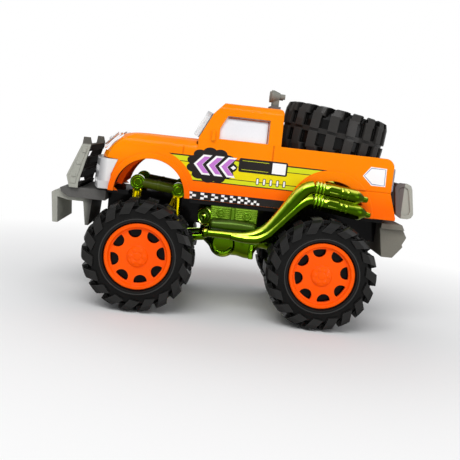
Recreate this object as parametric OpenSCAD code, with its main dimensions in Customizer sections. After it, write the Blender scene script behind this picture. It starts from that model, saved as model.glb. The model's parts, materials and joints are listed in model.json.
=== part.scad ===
// Toy off-road pickup truck with large lugged tyres, bull bars and a spare tyre.
// Millimetres; +X forward, +Y left, +Z up, floor at z = 0.

/* [Wheels] */
// distance between the two axles
wheel_base = 130; // [126:1:136]
// front axle to the foremost point of the front skid
front_overhang = 70; // [69:0.5:76]
// rear axle to the rearmost point of the rear guard
rear_overhang = 68.5; // [67:0.5:74]
// distance between the middle planes of the left and right wheels
track = 102; // [101:1:110]
// tyre diameter over the lugs
tyre_d = 80; // [76:0.5:80.5]
// tyre width over the lugs
tyre_w = 38; // [34:1:38]
// rim diameter at the tyre seat
rim_d = 46.6; // [46:0.2:48]
// width of the rims
rim_w = 34; // [30:1:34]
// lugs on each shoulder of a tyre
lug_count = 18; // [12:1:20]
// height of a lug above the tread
lug_h = 3.6; // [2:0.2:4]
// width of a lug round the tyre
lug_w = 6.8; // [3:0.2:7]
// how far a lug leans round the tyre over the shoulder
lug_lean = 6.5; // [2:0.5:8]
// openings in each rim
rim_holes = 8; // [5:1:8]
// radius of the round side of a rim opening
rim_hole_r = 4.7; // [3:0.1:5]
// radius of the raised rim centre
rim_boss_r = 7.6; // [6:0.2:8]
// thickness of the rim disc
rim_web = 2.6; // [2:0.2:4]
// axle diameter
axle_d = 3; // [2:0.1:3.4]
// radial running clearance of the axles
axle_clear = 0.05; // [0.02:0.01:0.1]

/* [Body] */
// width over the flat body sides
body_w = 86; // [84:1:88]
// wall of the body moulding
wall = 2; // [1.6:0.1:2.4]
// height of the lower body edge
sill_z = 82; // [81.5:0.5:84]
// height of the window sill and bed rail
belt_z = 126.3; // [124:0.1:128]
// height of the bonnet
bonnet_z = 124.5; // [122:0.5:125.5]
// radius of the bonnet nose in side view
nose_r = 25; // [22:0.5:27]
// front axle to the tip of the nose at the middle
nose_reach = 38; // [37:0.5:40]
// radius of the nose in plan
nose_plan_r = 130; // [110:5:180]
// height of the nose underside above the lower body edge
nose_lip_h = 23; // [21:0.5:24]
// radius of the bonnet shoulders
bonnet_shoulder_r = 8; // [4:0.5:9]
// rear axle back to the tailgate
tail_reach = 46.5; // [46:0.5:49]
// how far the tail flares back at its lower edge
tail_flare = 5.6; // [2:0.2:6]
// height over which the tail flares
tail_flare_h = 19; // [16:0.5:21]
// radius of the bed rail corner at the tail
bed_corner_r = 6.5; // [3:0.5:8]
// height of the bed floor
bed_floor_z = 113; // [112.5:0.5:115]
// wall of the bed
bed_wall = 2.6; // [2:0.2:2.8]
// radius of the front wheel arches
front_arch_r = 25.6; // [24:0.1:26]
// how far the front arch middle lies behind the front axle
front_arch_back = 1.8; // [0:0.2:2]
// radial width of the front arch lips
front_lip = 4; // [2:0.2:4]
// radius of the rear wheel arches
rear_arch_r = 24; // [22:0.5:26]
// how far the rear arch middle lies behind the rear axle
rear_arch_back = 4; // [2:0.2:5]
// radial width of the rear arch lips
rear_lip = 7; // [4:0.5:7]
// how far the arch lips stand out of the body side
lip_out = 1.6; // [0.6:0.2:2]
// width and depth of the engraved panel lines
groove = 0.8; // [0.5:0.1:1]
// radius of the headlamp lenses
headlamp_r = 8.5; // [6:0.5:9]
// thickness of the headlamp lenses
headlamp_t = 2.6; // [2:0.2:3]
// distance between the headlamp middles
headlamp_gap = 50; // [44:1:52]
// how far the front panel stands ahead of the nose
fascia_out = 4.4; // [3:0.2:5]
// slots in the front panel
fascia_slots = 4; // [3:1:5]

/* [Cab] */
// height of the roof
roof_z = 153; // [151:0.5:156]
// front axle back to the foot of the windscreen pillars
scuttle_reach = 33.4; // [32:0.2:36]
// rear axle forward to the back wall of the cab
cab_back_reach = 37; // [36:0.5:40]
// windscreen pillar, how far its top lies behind its foot
pillar_rake = 9.2; // [6:0.2:11]
// height of the windscreen pillars
pillar_h = 18.5; // [17:0.5:20]
// how far the front edge of the flat roof lies behind the pillar top
roof_front = 7.5; // [5:0.5:9]
// inward lean of each cab side from belt to roof
cab_lean = 4; // [2:0.5:6]
// radius of the roof edges
roof_r = 6; // [3:0.5:8]
// how far the windscreen bows forward of its pillars
screen_bow = 5.2; // [3:0.2:6]
// thickness of the window panes
pane_t = 1.2; // [1:0.1:1.6]
// height of the side windows
window_h = 16.8; // [15:0.2:17.6]
// foot of the windscreen pillar back to the side window
window_front = 14.8; // [13:0.2:16]
// side window to the back of the cab
window_back = 9.5; // [8:0.5:12]

/* [Spare] */
// width of the spare tyre
spare_w = 36; // [32:1:38]
// tilt of the spare tyre, front edge up
spare_tilt = 7.5; // [5:0.5:9]
// height of the middle of the spare tyre
spare_z = 139; // [138.5:0.5:142]
// how far the spare tyre's middle lies behind the rear axle
spare_back = 5.3; // [4.6:0.1:5.4]

/* [Chassis] */
// width of the chassis spine
spine_w = 30; // [26:1:32]
// height of the underside of the chassis spine
spine_z = 62; // [61:0.5:63]
// front axle to the front end of the spine
spine_front = 30; // [29:0.5:31]
// thickness of the deck under the body
deck_t = 3; // [2:0.2:4]
// width of the axle carriers
carrier_w = 48; // [44:1:54]
// length of an axle carrier along the truck
carrier_l = 16; // [12:1:20]
// width of the front plate that the dampers stand on
spring_plate_w = 61; // [60:1:62]
// length of a damper plate
spring_plate_l = 40; // [38:1:42]
// width of the friction motor
motor_w = 32; // [24:1:34]
// length of the friction motor
motor_l = 36; // [30:1:40]
// lowest point of the friction motor
motor_z = 28; // [25:1:32]
// width of the gearbox
gearbox_w = 40; // [34:1:42]
// lowest point of the gearbox
gearbox_z = 37; // [35:0.5:42]
// front axle back to the front of the gearbox
gearbox_back = 41; // [38:0.5:44]
// radius of the gearbox sump
sump_r = 11; // [9:0.5:12]

/* [Dampers] */
// radius of a damper eyelet
eyelet_r = 5.5; // [4:0.1:5.6]
// width of a damper eyelet
eyelet_w = 6; // [4:0.5:7]
// radius of a damper post
post_r = 2.6; // [2:0.1:2.8]
// radius of the tube between two dampers
tie_r = 3.4; // [2:0.1:3.8]
// front axle forward to the leading damper
damper_front = 8; // [6:0.5:9]
// front axle back to the trailing damper
damper_back = 22.5; // [20:0.5:23]
// height of the leading eyelet above the axle
damper_h = 49; // [47:0.5:51]
// side clearance between the dampers and the tyres
damper_gap = 5; // [4.5:0.1:6]

/* [Engine] */
// length of each engine block
engine_l = 35.4; // [30:0.2:37]
// height of the underside of the engine blocks
engine_z = 67; // [66:0.5:70]
// ribs along an engine block
engine_ribs = 5; // [3:1:5]
// radius of the drum at the front of an engine
drum_r = 7; // [5:0.2:7.2]

/* [Exhaust] */
// height of the header pipe
header_z = 60; // [59:0.5:61]
// radius of the header pipe
header_r = 2.8; // [2.4:0.1:3.2]
// rear axle forward to the bend at the back of the header
header_back = 53.3; // [52:0.1:55]
// radius of the rising pipe
rise_r = 5; // [4:0.1:5.2]
// slope of the rising pipe
rise_a = 53; // [48:1:56]
// radius of the lower bend
bend_r = 18; // [16:0.5:20]
// radius of the bend into the upper muffler
upper_bend_r = 14; // [12:0.5:15]
// radius of the bend into the lower muffler
lower_bend_r = 12; // [11:0.5:13]
// radius of the mufflers
muffler_r = 5.5; // [5.2:0.1:5.6]
// length of the taper at the end of a muffler
muffler_tip = 12.2; // [8:0.2:14]

/* [Guards] */
// width of the front guard
guard_w = 74; // [66:1:78]
// width of the front bumper and the rear step
bumper_w = 68; // [64:1:72]
// width of the skids
skid_w = 60; // [52:1:64]
// width of the rear guard
rear_guard_w = 60; // [52:1:66]
// thickness of the guard side plates
guard_bar = 4; // [3:0.2:5]
// height of the top of the front guard
guard_top_z = 117.8; // [114:0.2:119]
// depth of the front guard's side plates
guard_d = 6.4; // [5:0.2:7]
// how far the front guard leans back
guard_rake = 7.2; // [5:0.2:8]
// foremost point back to the back of the front guard
guard_back = 19.8; // [18:0.2:21]
// openings one above the other in the front guard
guard_rows = 3; // [2:1:4]
// height of the front bumper's underside
bumper_z = 73; // [72:0.5:74]
// height of the front bumper
bumper_h = 7.5; // [6:0.5:8]
// foremost point back to the bumper's tip
bumper_back = 6.5; // [6:0.5:8]
// lowest point of the skids
skid_z = 53; // [50:0.5:56]
// length of the front skid
skid_l = 30; // [26:0.5:32]
// thickness of the skid plates
skid_t = 3.8; // [3:0.2:4.4]
// lowest point of the rear guard
rear_guard_z = 83.2; // [82:0.2:85]
// height of the rear guard
rear_guard_h = 26.2; // [22:0.2:28]
// depth of the rear guard's side plates
rear_guard_d = 13; // [10:0.2:13]
// how far the rear guard leans forward
rear_guard_rake = 3.2; // [2:0.2:4]
// height of the top of the rear step
step_z = 78.6; // [77:0.2:79]
// length of the rear step
step_l = 23.5; // [21:0.5:24]

/* [Roof lamps] */
// diameter of the roof lamps
lamp_d = 8.6; // [6:0.2:9]
// number of roof lamps
lamp_count = 2; // [2:1:4]
// distance from the first to the last roof lamp
lamp_span = 16; // [12:1:40]
// length of a roof lamp
lamp_l = 10.5; // [8:0.5:12]
// height of the lamp stalks
stalk_h = 6; // [4:0.5:7]

/* [Hidden] */
$fn = 64;
eps = 0.5;
seat = 0.1;
front_x = wheel_base / 2 - (front_overhang - rear_overhang) / 2;
rear_x = front_x - wheel_base;
axle_z = tyre_d / 2;
axle_r = axle_d / 2;
rim_r = rim_d / 2;
tip_x = front_x + front_overhang;
end_x = rear_x - rear_overhang;
half_w = body_w / 2;
side_y = half_w + lip_out;
scuttle_x = front_x - scuttle_reach;
cab_back_x = rear_x + cab_back_reach;
roof_x = scuttle_x - pillar_rake - roof_front;
pillar_a = atan(pillar_rake / pillar_h);
tail_x = rear_x - tail_reach;
nose_x = front_x + nose_reach;
nose_axis_x = nose_x - nose_plan_r;
deck_z = sill_z - deck_t;
bumper_top = bumper_z + bumper_h;
skid_step_x = tip_x - 3.2 * skid_t;
spine_front_x = front_x + spine_front;
spine_rear_x = end_x + step_l;
damper_y = (track - tyre_w) / 2 - damper_gap;
engine_x = front_x - wheel_base * 0.495;
exhaust_y = side_y + 1 + muffler_r + seat;

// wheel arches: middle, radius, lip width
arches = [[front_x - front_arch_back, front_arch_r, front_lip],
          [rear_x - rear_arch_back, rear_arch_r, rear_lip]];

// front edge of the fenders: share of the nose reach behind the nose, share of the nose height
fender_edge = [[0.145, -0.1], [0.14, 0.1], [0.105, 0.35], [0.108, 0.5], [0.182, 0.85], [0.215, 0.985]];

// wheels: axle position, side
wheels = [[front_x, 1], [front_x, -1], [rear_x, 1], [rear_x, -1]];

// mufflers: start ahead of the rear axle, start above the axle, slope, length, bend radius
mufflers = [[4.7, 61, 6.8, 34.3, upper_bend_r], [12, 50.9, 7.8, 45.1, lower_bend_r]];

// side-view shape (x, z) drawn out across the truck
module across(width) {
    rotate([90, 0, 0]) linear_extrude(height = width, center = true) children();
}

// front-view shape (y, z) drawn out from x0 to x1
module along(x0, x1) {
    translate([x0, 0, 0]) rotate([90, 0, 90]) linear_extrude(height = x1 - x0) children();
}

module block(x0, x1, y0, y1, z0, z1) {
    translate([x0, y0, z0]) cube([x1 - x0, y1 - y0, z1 - z0]);
}

// box that is the same on both sides of the middle
module mid_block(x0, x1, width, z0, z1) {
    block(x0, x1, -width / 2, width / 2, z0, z1);
}

module cross_rod(x, z, r, width) {
    translate([x, 0, z]) rotate([90, 0, 0]) cylinder(r = r, h = width, center = true);
}

module on_side(s) {
    mirror([0, s < 0 ? 1 : 0, 0]) children();
}

module both_sides() {
    for (s = [-1, 1]) on_side(s) children();
}

// what a rounding of radius r takes off a square corner
module corner_cut(r) {
    difference() {
        square(r + eps);
        circle(r);
    }
}

// rectangle from a to b with rounded corners
module round_rect(a, b, r) {
    difference() {
        translate(a) square(b - a);
        translate([b[0] - r, b[1] - r]) corner_cut(r);
        translate([a[0] + r, b[1] - r]) rotate(90) corner_cut(r);
        translate([a[0] + r, a[1] + r]) rotate(180) corner_cut(r);
        translate([b[0] - r, a[1] + r]) rotate(270) corner_cut(r);
    }
}

// round bar from point a to point b
module bar(a, b, r1, r2) {
    d = b - a;
    len = norm(d);
    translate(a) rotate([0, acos(d[2] / len), atan2(d[1], d[0])]) cylinder(r1 = r1, r2 = r2, h = len);
}

// body: every outer form is drawn with an inset t, so its hollow follows it

// shape turned about the upright axis that the nose is rounded about
module nose_turn() {
    translate([nose_axis_x, 0, 0]) rotate_extrude($fn = 128) children();
}

function fender_line(t) = [for (p = fender_edge)
    [nose_plan_r - nose_reach * p[0] - t, sill_z + nose_lip_h * p[1]]];

module nose_outline(t) {
    r = nose_plan_r;
    lip_z = sill_z + nose_lip_h;
    difference() {
        union() {
            translate([1, sill_z]) square([r - nose_r - 1, bonnet_z - sill_z - t]);
            translate([r - nose_r, bonnet_z - nose_r]) circle(nose_r - t + seat / 10);
        }
        translate([0, sill_z - nose_r]) square([r + nose_r, nose_r]);
        polygon(concat(fender_line(t), [[r + nose_r, lip_z + t + 2], [r + nose_r, sill_z - 2]]));
    }
}

module bonnet_section(t) {
    w = half_w - t;
    difference() {
        translate([-w, sill_z]) square([2 * w, bonnet_z - t - sill_z]);
        for (s = [0, 1]) mirror([s, 0])
            translate([w - bonnet_shoulder_r, bonnet_z - t - bonnet_shoulder_r])
                corner_cut(bonnet_shoulder_r);
    }
}

module bonnet_block(t) {
    intersection() {
        nose_turn() nose_outline(t);
        along(scuttle_x - window_front, nose_x + nose_r) bonnet_section(t);
    }
}

module tail_outline() {
    difference() {
        polygon([[scuttle_x, sill_z], [scuttle_x, belt_z], [tail_x, belt_z],
                 [tail_x, sill_z + tail_flare_h], [tail_x - tail_flare, sill_z + 2],
                 [tail_x - tail_flare, sill_z]]);
        translate([tail_x + bed_corner_r, belt_z - bed_corner_r]) rotate(90) corner_cut(bed_corner_r);
    }
}

module cab_outline(t) {
    foot = bed_floor_z + bed_wall;
    edge = roof_r / 2;
    difference() {
        polygon([[scuttle_x - t, foot], [scuttle_x - t, belt_z],
                 [scuttle_x - pillar_rake - t, belt_z + pillar_h], [roof_x - t / 2, roof_z - t],
                 [cab_back_x + t, roof_z - t], [cab_back_x + t, foot]]);
        translate([cab_back_x + t + edge, roof_z - t - edge]) rotate(90) corner_cut(edge);
    }
}

module cab_section(t) {
    foot = bed_floor_z + bed_wall;
    top = half_w - cab_lean - t;
    low = half_w - t;
    intersection() {
        polygon([[-low, foot], [-low, belt_z], [-top, roof_z - t], [top, roof_z - t], [low, belt_z],
                 [low, foot]]);
        difference() {
            translate([-low, foot]) square([2 * low, roof_z - t - foot]);
            for (s = [0, 1]) mirror([s, 0])
                translate([top - roof_r * 0.9, roof_z - t - roof_r]) corner_cut(roof_r);
        }
    }
}

module cab_block(t) {
    intersection() {
        across(body_w) cab_outline(t);
        along(cab_back_x - roof_r, scuttle_x + roof_r) cab_section(t);
    }
}

module side_window() {
    front = scuttle_x - window_front;
    back = cab_back_x + window_back;
    low = belt_z + groove;
    high = low + window_h;
    polygon([[front, low], [front, low + window_h * 0.46], [front - window_h * 0.28, high],
             [back, high], [back, low]]);
}

module rear_window() {
    w = half_w * 0.7;
    low = belt_z + groove * 3;
    round_rect([-w, low], [w, low + window_h * 0.85], wall);
}

module screen_opening() {
    translate([scuttle_x, 0, belt_z]) rotate([0, -pillar_a, 0])
        mid_block(-window_front, window_front, body_w * 0.74, eps, pillar_h);
}

module arch_lips() {
    for (a = arches) intersection() {
        cross_rod(a[0], sill_z, a[1] + a[2], 2 * side_y);
        both_sides() block(a[0] - 2 * a[1], a[0] + 2 * a[1], half_w - wall / 2, side_y, sill_z,
                           sill_z + 2 * a[1]);
    }
}

module arch_openings() {
    for (a = arches) both_sides() translate([a[0], half_w - wall - eps, sill_z]) rotate([-90, 0, 0])
        cylinder(r = a[1], h = wall + lip_out + 2 * eps);
}

// door and bonnet joints cut into both body sides
module panel_lines() {
    both_sides() {
        block(cab_back_x + window_back / 2, cab_back_x + window_back / 2 + groove, half_w - groove,
              side_y, bed_floor_z, belt_z);
        block(scuttle_x + window_back, scuttle_x + window_back + groove, half_w - groove, side_y,
              bed_floor_z, belt_z);
        block(cab_back_x, tail_x, half_w - groove / 2, side_y, sill_z + tail_flare_h,
              sill_z + tail_flare_h + groove);
    }
}

module mirror_stubs() {
    x = scuttle_x - pillar_rake;
    both_sides() block(x - lip_out * 1.6, x, half_w - wall, side_y, belt_z - 1, belt_z + window_h * 0.36);
}

module body_shell() {
    inner_w = body_w - 2 * wall;
    color("orange") difference() {
        union() {
            bonnet_block(0);
            across(body_w) tail_outline();
            cab_block(0);
            arch_lips();
            mirror_stubs();
        }
        bonnet_block(wall);
        cab_block(wall);
        mid_block(tail_x + bed_wall, scuttle_x + wall, inner_w, sill_z - 1, bed_floor_z - wall);
        mid_block(cab_back_x + wall, scuttle_x + wall / 2, inner_w, sill_z, belt_z - bed_wall);
        mid_block(tail_x + bed_wall, cab_back_x, body_w - 2 * bed_wall, bed_floor_z, roof_z);
        arch_openings();
        across(2 * body_w) side_window();
        along(cab_back_x - wall, cab_back_x + 2 * wall) rear_window();
        screen_opening();
        panel_lines();
    }
}

// clear windscreen, bowed forward of the pillars
module windscreen() {
    w = half_w * 0.79;
    bow_r = (w * w + screen_bow * screen_bow) / (2 * screen_bow);
    color("lightblue", 0.4) translate([scuttle_x, 0, belt_z]) rotate([0, -pillar_a, 0])
        linear_extrude(height = pillar_h * 1.1) intersection() {
            translate([screen_bow + seat - bow_r, 0]) difference() {
                circle(r = bow_r, $fn = 128);
                circle(r = bow_r - pane_t, $fn = 128);
            }
            translate([seat, -w]) square([2 * screen_bow, 2 * w]);
        }
}

// milky panes behind the side and rear windows
module window_insert() {
    low = belt_z - wall;
    high = belt_z + window_h + wall;
    corner_x = cab_back_x + window_back * 0.7;
    color("white") intersection() {
        difference() {
            cab_block(wall + seat);
            cab_block(wall + seat + pane_t);
            both_sides() block(cab_back_x, corner_x, half_w * 0.75, half_w, low, high);
            mid_block(corner_x, scuttle_x, body_w * 0.75, low, high);
        }
        mid_block(cab_back_x, scuttle_x - window_front + eps, body_w, low, high);
    }
}

module headlamps() {
    lens_a = 44;
    c_z = bonnet_z - nose_r;
    color("white") for (s = [-1, 1]) intersection() {
        nose_turn() translate([nose_plan_r - nose_r, c_z]) difference() {
            circle(nose_r + headlamp_t);
            circle(nose_r + seat);
            translate([-2 * nose_r, -2 * nose_r]) square([2 * nose_r, 4 * nose_r]);
        }
        translate([nose_x - nose_r - 3, s * headlamp_gap / 2, c_z]) rotate([0, 90 - lens_a, s * 8])
            cylinder(r = headlamp_r, h = 2 * nose_r);
    }
}

module tail_lamps() {
    w = body_w * 0.14;
    y0 = half_w - w - bed_corner_r / 3;
    z0 = sill_z + tail_flare_h + groove * 2;
    color("white") both_sides() along(tail_x - lip_out, tail_x)
        round_rect([y0, z0], [y0 + w, z0 + w * 1.4], lip_out);
}

// silver panel under the nose, wrapped round the corners
module front_fascia() {
    r = nose_plan_r;
    w = half_w - seat * 4;
    top = sill_z + nose_lip_h;
    pitch = (nose_lip_h - 6) / fascia_slots;
    back = [for (p = fender_line(-seat)) if (p[1] > sill_z && p[1] < top) p];
    front = [[r + fascia_out - 1, top - eps], [r + fascia_out, sill_z + 5],
             [r + fascia_out * 0.9, sill_z + eps]];
    color("silver") intersection() {
        difference() {
            nose_turn() polygon(concat([[back[0][0], sill_z + eps]], back, front));
            cross_rod(arches[0][0], sill_z, arches[0][1] + arches[0][2] + seat, 2 * side_y);
            for (i = [0 : fascia_slots - 1])
                mid_block(nose_x + fascia_out / 4, nose_x + nose_r, body_w * 0.56,
                          sill_z + 3 + i * pitch, sill_z + 3 + (i + 0.5) * pitch);
        }
        linear_extrude(height = 2 * top) round_rect([front_x, -w], [nose_x + fascia_out + 1, w], nose_r / 3);
    }
}

// guards, bumpers and skids

module front_bumper() {
    b = bumper_back;
    h = bumper_h;
    color("grey") across(bumper_w)
        polygon([[spine_front_x, bumper_z], [spine_front_x, bumper_top], [tip_x - 1.7 * b, bumper_top],
                 [tip_x - b, bumper_top - 0.16 * h], [tip_x - 1.15 * b, bumper_top - 0.53 * h],
                 [skid_step_x - 1, bumper_z]]);
}

module front_guard() {
    x = tip_x - guard_back;
    d = guard_d;
    lug = guard_bar * 1.2;
    top = guard_top_z - lug;
    h = top - bumper_top;
    lean = guard_rake / h;
    pitch = h / (guard_rows + 0.28);
    rung_h = pitch * 0.52;
    rung_d = d * 0.56;
    color("grey") {
        both_sides() translate([0, (guard_w - guard_bar) / 2, 0]) across(guard_bar)
            polygon([[x, bumper_top], [x + d, bumper_top], [x + d * 1.38, bumper_top + h * 0.26],
                     [x + d - guard_rake, top], [x + d - guard_rake - 0.6, guard_top_z],
                     [x + d - guard_rake - 5, guard_top_z], [x - guard_rake, top], [x, bumper_top + h * 0.12]]);
        for (i = [0 : guard_rows]) translate([-lean * pitch * i, 0, bumper_top + pitch * (i - 0.24)])
            across(guard_w - guard_bar) intersection() {
                polygon([[x, 0], [x + rung_d, 0], [x + rung_d - lean * rung_h, rung_h],
                         [x - lean * rung_h, rung_h]]);
                translate([x - d, i == 0 ? pitch * 0.24 : 0]) square([3 * d, pitch]);
            }
    }
}

module front_skid() {
    z = bumper_z;
    t = skid_t;
    color("grey") across(skid_w)
        polygon([[tip_x - skid_l, z], [skid_step_x, z], [tip_x - 1.85 * t, z + 0.8 * t],
                 [tip_x - 0.42 * t, z + 0.84 * t], [tip_x, z + 0.5 * t], [tip_x - 0.58 * t, skid_z],
                 [tip_x - 1.58 * t, skid_z], [tip_x - 1.2 * t, z - 0.26 * t], [skid_step_x, z - 0.7 * t],
                 [tip_x - 6.2 * t, z - 0.7 * t], [tip_x - skid_l + t, skid_z],
                 [tip_x - skid_l + 0.37 * t, skid_z]]);
}

// side plate of the rear guard with its rim left t wide
module rear_plate(t) {
    low = rear_guard_z + t;
    high = rear_guard_z + rear_guard_h - t;
    front = rear_guard_d - t;
    r = guard_bar - t / 3;
    lean = rear_guard_rake;
    polygon([[end_x + t, low + r], [end_x + t + r * 0.3, low + r * 0.3], [end_x + t + r, low],
             [end_x + front - r, low], [end_x + front, low + r * 0.6], [end_x + front + lean, high - r],
             [end_x + front + lean - r * 0.3, high - r * 0.3], [end_x + front + lean - r, high],
             [end_x + t + lean + r, high], [end_x + t + lean + r * 0.3, high - r * 0.3],
             [end_x + t + lean, high - r]]);
}

module rear_guard() {
    h = rear_guard_h;
    d = rear_guard_d;
    lean = rear_guard_rake / h;
    bars = [h * 0.09, h * 0.77];
    arm_y = rear_guard_w * 0.3;
    outer = (rear_guard_w - guard_bar) / 2;
    color("grey") {
        both_sides() difference() {
            translate([0, outer, 0]) across(guard_bar) rear_plate(0);
            translate([0, outer + guard_bar * 0.75, 0]) across(guard_bar) rear_plate(guard_bar * 0.65);
        }
        for (z = bars) translate([lean * z, 0, rear_guard_z + z])
            mid_block(end_x + d * 0.1, end_x + d * 0.5, rear_guard_w - guard_bar, 0, guard_bar);
        both_sides() {
            block(end_x + d * 0.4, tail_x, arm_y, arm_y + guard_bar, rear_guard_z + bars[1],
                  rear_guard_z + bars[1] + guard_bar * 0.85);
            block(end_x + d * 0.3, tail_x - tail_flare, arm_y, arm_y + guard_bar, rear_guard_z + bars[0],
                  rear_guard_z + bars[0] + guard_bar * 0.85);
        }
    }
}

module rear_skid() {
    t = skid_t;
    h = step_z - t - skid_z;
    low = step_z - t;
    color("grey") {
        across(bumper_w) polygon([[spine_rear_x, low], [spine_rear_x, step_z], [end_x + t * 2.1, step_z],
                                  [end_x + t * 1.55, low]]);
        across(skid_w)
            polygon([[spine_rear_x, low], [end_x + t * 1.55, low], [end_x + t * 0.7, skid_z + h * 0.74],
                     [end_x + t * 1.4, skid_z + h * 0.48], [end_x + t * 1.2, skid_z + h * 0.41],
                     [end_x + t * 1.65, skid_z + h * 0.3], [end_x + t * 3, skid_z],
                     [spine_rear_x - t, skid_z]]);
    }
}

module light_bar() {
    x = cab_back_x + lamp_d / 2;
    front = lamp_l * 0.2;
    color("grey") {
        mid_block(x - lamp_l * 0.32, x + lamp_l * 0.42, lamp_span + lamp_d, roof_z, roof_z + stalk_h * 0.42);
        for (i = [0 : lamp_count - 1])
            translate([x, -lamp_span / 2 + i * lamp_span / (lamp_count - 1), roof_z]) {
                translate([-lamp_l * 0.18, -lamp_d * 0.2, stalk_h * 0.3])
                    cube([lamp_l * 0.42, lamp_d * 0.4, stalk_h + lamp_d * 0.2]);
                translate([lamp_l * 0.42, 0, stalk_h + lamp_d / 2]) rotate([0, -90, 0]) {
                    cylinder(d = lamp_d, h = front);
                    translate([0, 0, front]) cylinder(d1 = lamp_d, d2 = lamp_d * 0.6, h = lamp_l * 0.44);
                    translate([0, 0, lamp_l * 0.56]) cylinder(d = lamp_d * 0.46, h = lamp_l * 0.44);
                }
            }
    }
}

// tyres, rims and axles, turned about z

module tyre_form(d, w) {
    r = d / 2;
    h = w / 2;
    root = r - lug_h;
    pad_r = r - lug_h * 2.6;
    half = lug_w / 2;
    // turned outlines: radius, share of the half width
    skin = [[rim_r, 0.84], [rim_r + lug_h * 0.4, 0.95], [rim_r + lug_h, 0.95], [rim_r + lug_h * 1.1, 0.9],
            [r - lug_h * 1.9, 0.86], [root - lug_h * 0.2, 0.7], [root, 0.5], [root, 0.13],
            [root + lug_h * 0.5, 0.1], [root + lug_h * 0.5, 0]];
    crest = [[rim_r + lug_h * 1.1, 0.96], [pad_r, 0.97], [r - lug_h * 1.3, 1], [r - lug_h * 0.5, 0.95],
             [r - lug_h * 0.12, 0.7], [r, 0.14]];
    turned(skin, h);
    intersection() {
        turned(crest, h);
        for (i = [0 : lug_count - 1]) for (s = [0, 1]) rotate(i * 360 / lug_count) mirror([0, 0, s]) {
            translate([root - 1, -half, h * 0.06]) cube([lug_h + 2, lug_w, h * 0.7]);
            translate([0, 0, h * 0.62]) linear_extrude(height = h)
                polygon([[r + 1, -half], [r + 1, half], [pad_r, half + lug_lean], [pad_r, lug_lean - half]]);
        }
    }
}

// ring turned from one half of its outline, h being half its width
module turned(outline, h) {
    last = len(outline) - 1;
    flat_end = outline[last][1] == 0 ? 1 : 0;
    rotate_extrude($fn = 96) polygon(concat([for (p = outline) [p[0], p[1] * h]],
        [for (i = [last - flat_end : -1 : 0]) [outline[i][0], -outline[i][1] * h]]));
}

module rim_form() {
    f = rim_w / 2;
    face = f - 2;
    back = face - rim_web;
    lip = 2;
    hub_r = rim_boss_r * 0.66;
    difference() {
        rotate_extrude() polygon([[axle_r, -f], [hub_r, -f], [hub_r, back], [rim_r - lip, back],
            [rim_r - lip, -f], [rim_r, -f], [rim_r, f], [rim_r - lip * 0.3, f + lip / 4],
            [rim_r - lip * 1.2, f + lip / 4], [rim_r - lip * 1.7, face], [rim_boss_r, face],
            [rim_boss_r * 0.9, f - lip * 0.3], [rim_boss_r * 0.58, f], [axle_r, f]]);
        for (i = [0 : rim_holes - 1]) rotate((i + 0.25) * 360 / rim_holes) translate([0, 0, back - 1])
            linear_extrude(height = rim_web + 4) intersection() {
                translate([rim_r - rim_hole_r * 1.15, 0]) circle(rim_hole_r, $fn = 32);
                circle(rim_r - lip * 2.1);
            }
    }
}

module at_wheel(i) {
    translate([wheels[i][0], 0, axle_z]) on_side(wheels[i][1])
        translate([0, track / 2, 0]) rotate([-90, 0, 0]) children();
}

module tyre(i) {
    color("black") at_wheel(i) tyre_form(tyre_d, tyre_w);
}

module rim(i) {
    color("darkorange") at_wheel(i) rim_form();
}

module axle_rod(x) {
    color("silver") cross_rod(x, axle_z, axle_r, track + rim_w - 4);
}

module spare_pose() {
    translate([rear_x - spare_back, 0, spare_z]) rotate([0, -spare_tilt, 0]) children();
}

module spare_tyre() {
    color("black") spare_pose() tyre_form(tyre_d, spare_w);
}

// boss in the bed that carries the spare tyre
module spare_carrier() {
    color("orange") intersection() {
        mid_block(tail_x, cab_back_x, body_w, bed_floor_z, spare_z + spare_w);
        spare_pose() translate([0, 0, -spare_w * 1.25]) cylinder(r = rim_r, h = spare_w * 1.4);
    }
}

// chassis and running gear

module chassis() {
    front_end = arches[0][0] - arches[0][1] - arches[0][2];
    rear_end = arches[1][0] + arches[1][1] + arches[1][2];
    foot_z = axle_z - 2 * axle_d;
    half_l = carrier_l / 2;
    color("dimgray") difference() {
        union() {
            mid_block(spine_rear_x, spine_front_x, spine_w, spine_z, sill_z);
            mid_block(rear_end, front_end, body_w - wall, deck_z, sill_z);
            mid_block(tail_x + bed_wall, tail_x + bed_wall + carrier_l, body_w - 4 * wall, deck_z, sill_z);
            mid_block(spine_front_x - carrier_l, spine_front_x, skid_w, deck_z, sill_z);
            mid_block(front_x - half_l, front_x + half_l, carrier_w, foot_z, spine_z + 1);
            both_sides()
                block(rear_x - half_l, rear_x + half_l, motor_w / 2, carrier_w / 2, foot_z, spine_z + 1);
            for (x = [front_x, rear_x])
                mid_block(x - spring_plate_l * 0.67, x + spring_plate_l * 0.33, spring_plate_w, spine_z,
                          spine_z + deck_t);
        }
        for (x = [front_x, rear_x]) cross_rod(x, axle_z, axle_r + axle_clear, carrier_w + 10);
    }
}

module friction_motor() {
    color("gray") difference() {
        mid_block(rear_x - motor_l / 2, rear_x + motor_l / 2, motor_w, motor_z, spine_z);
        cross_rod(rear_x, axle_z, axle_r + axle_clear, motor_w + 10);
    }
}

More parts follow.
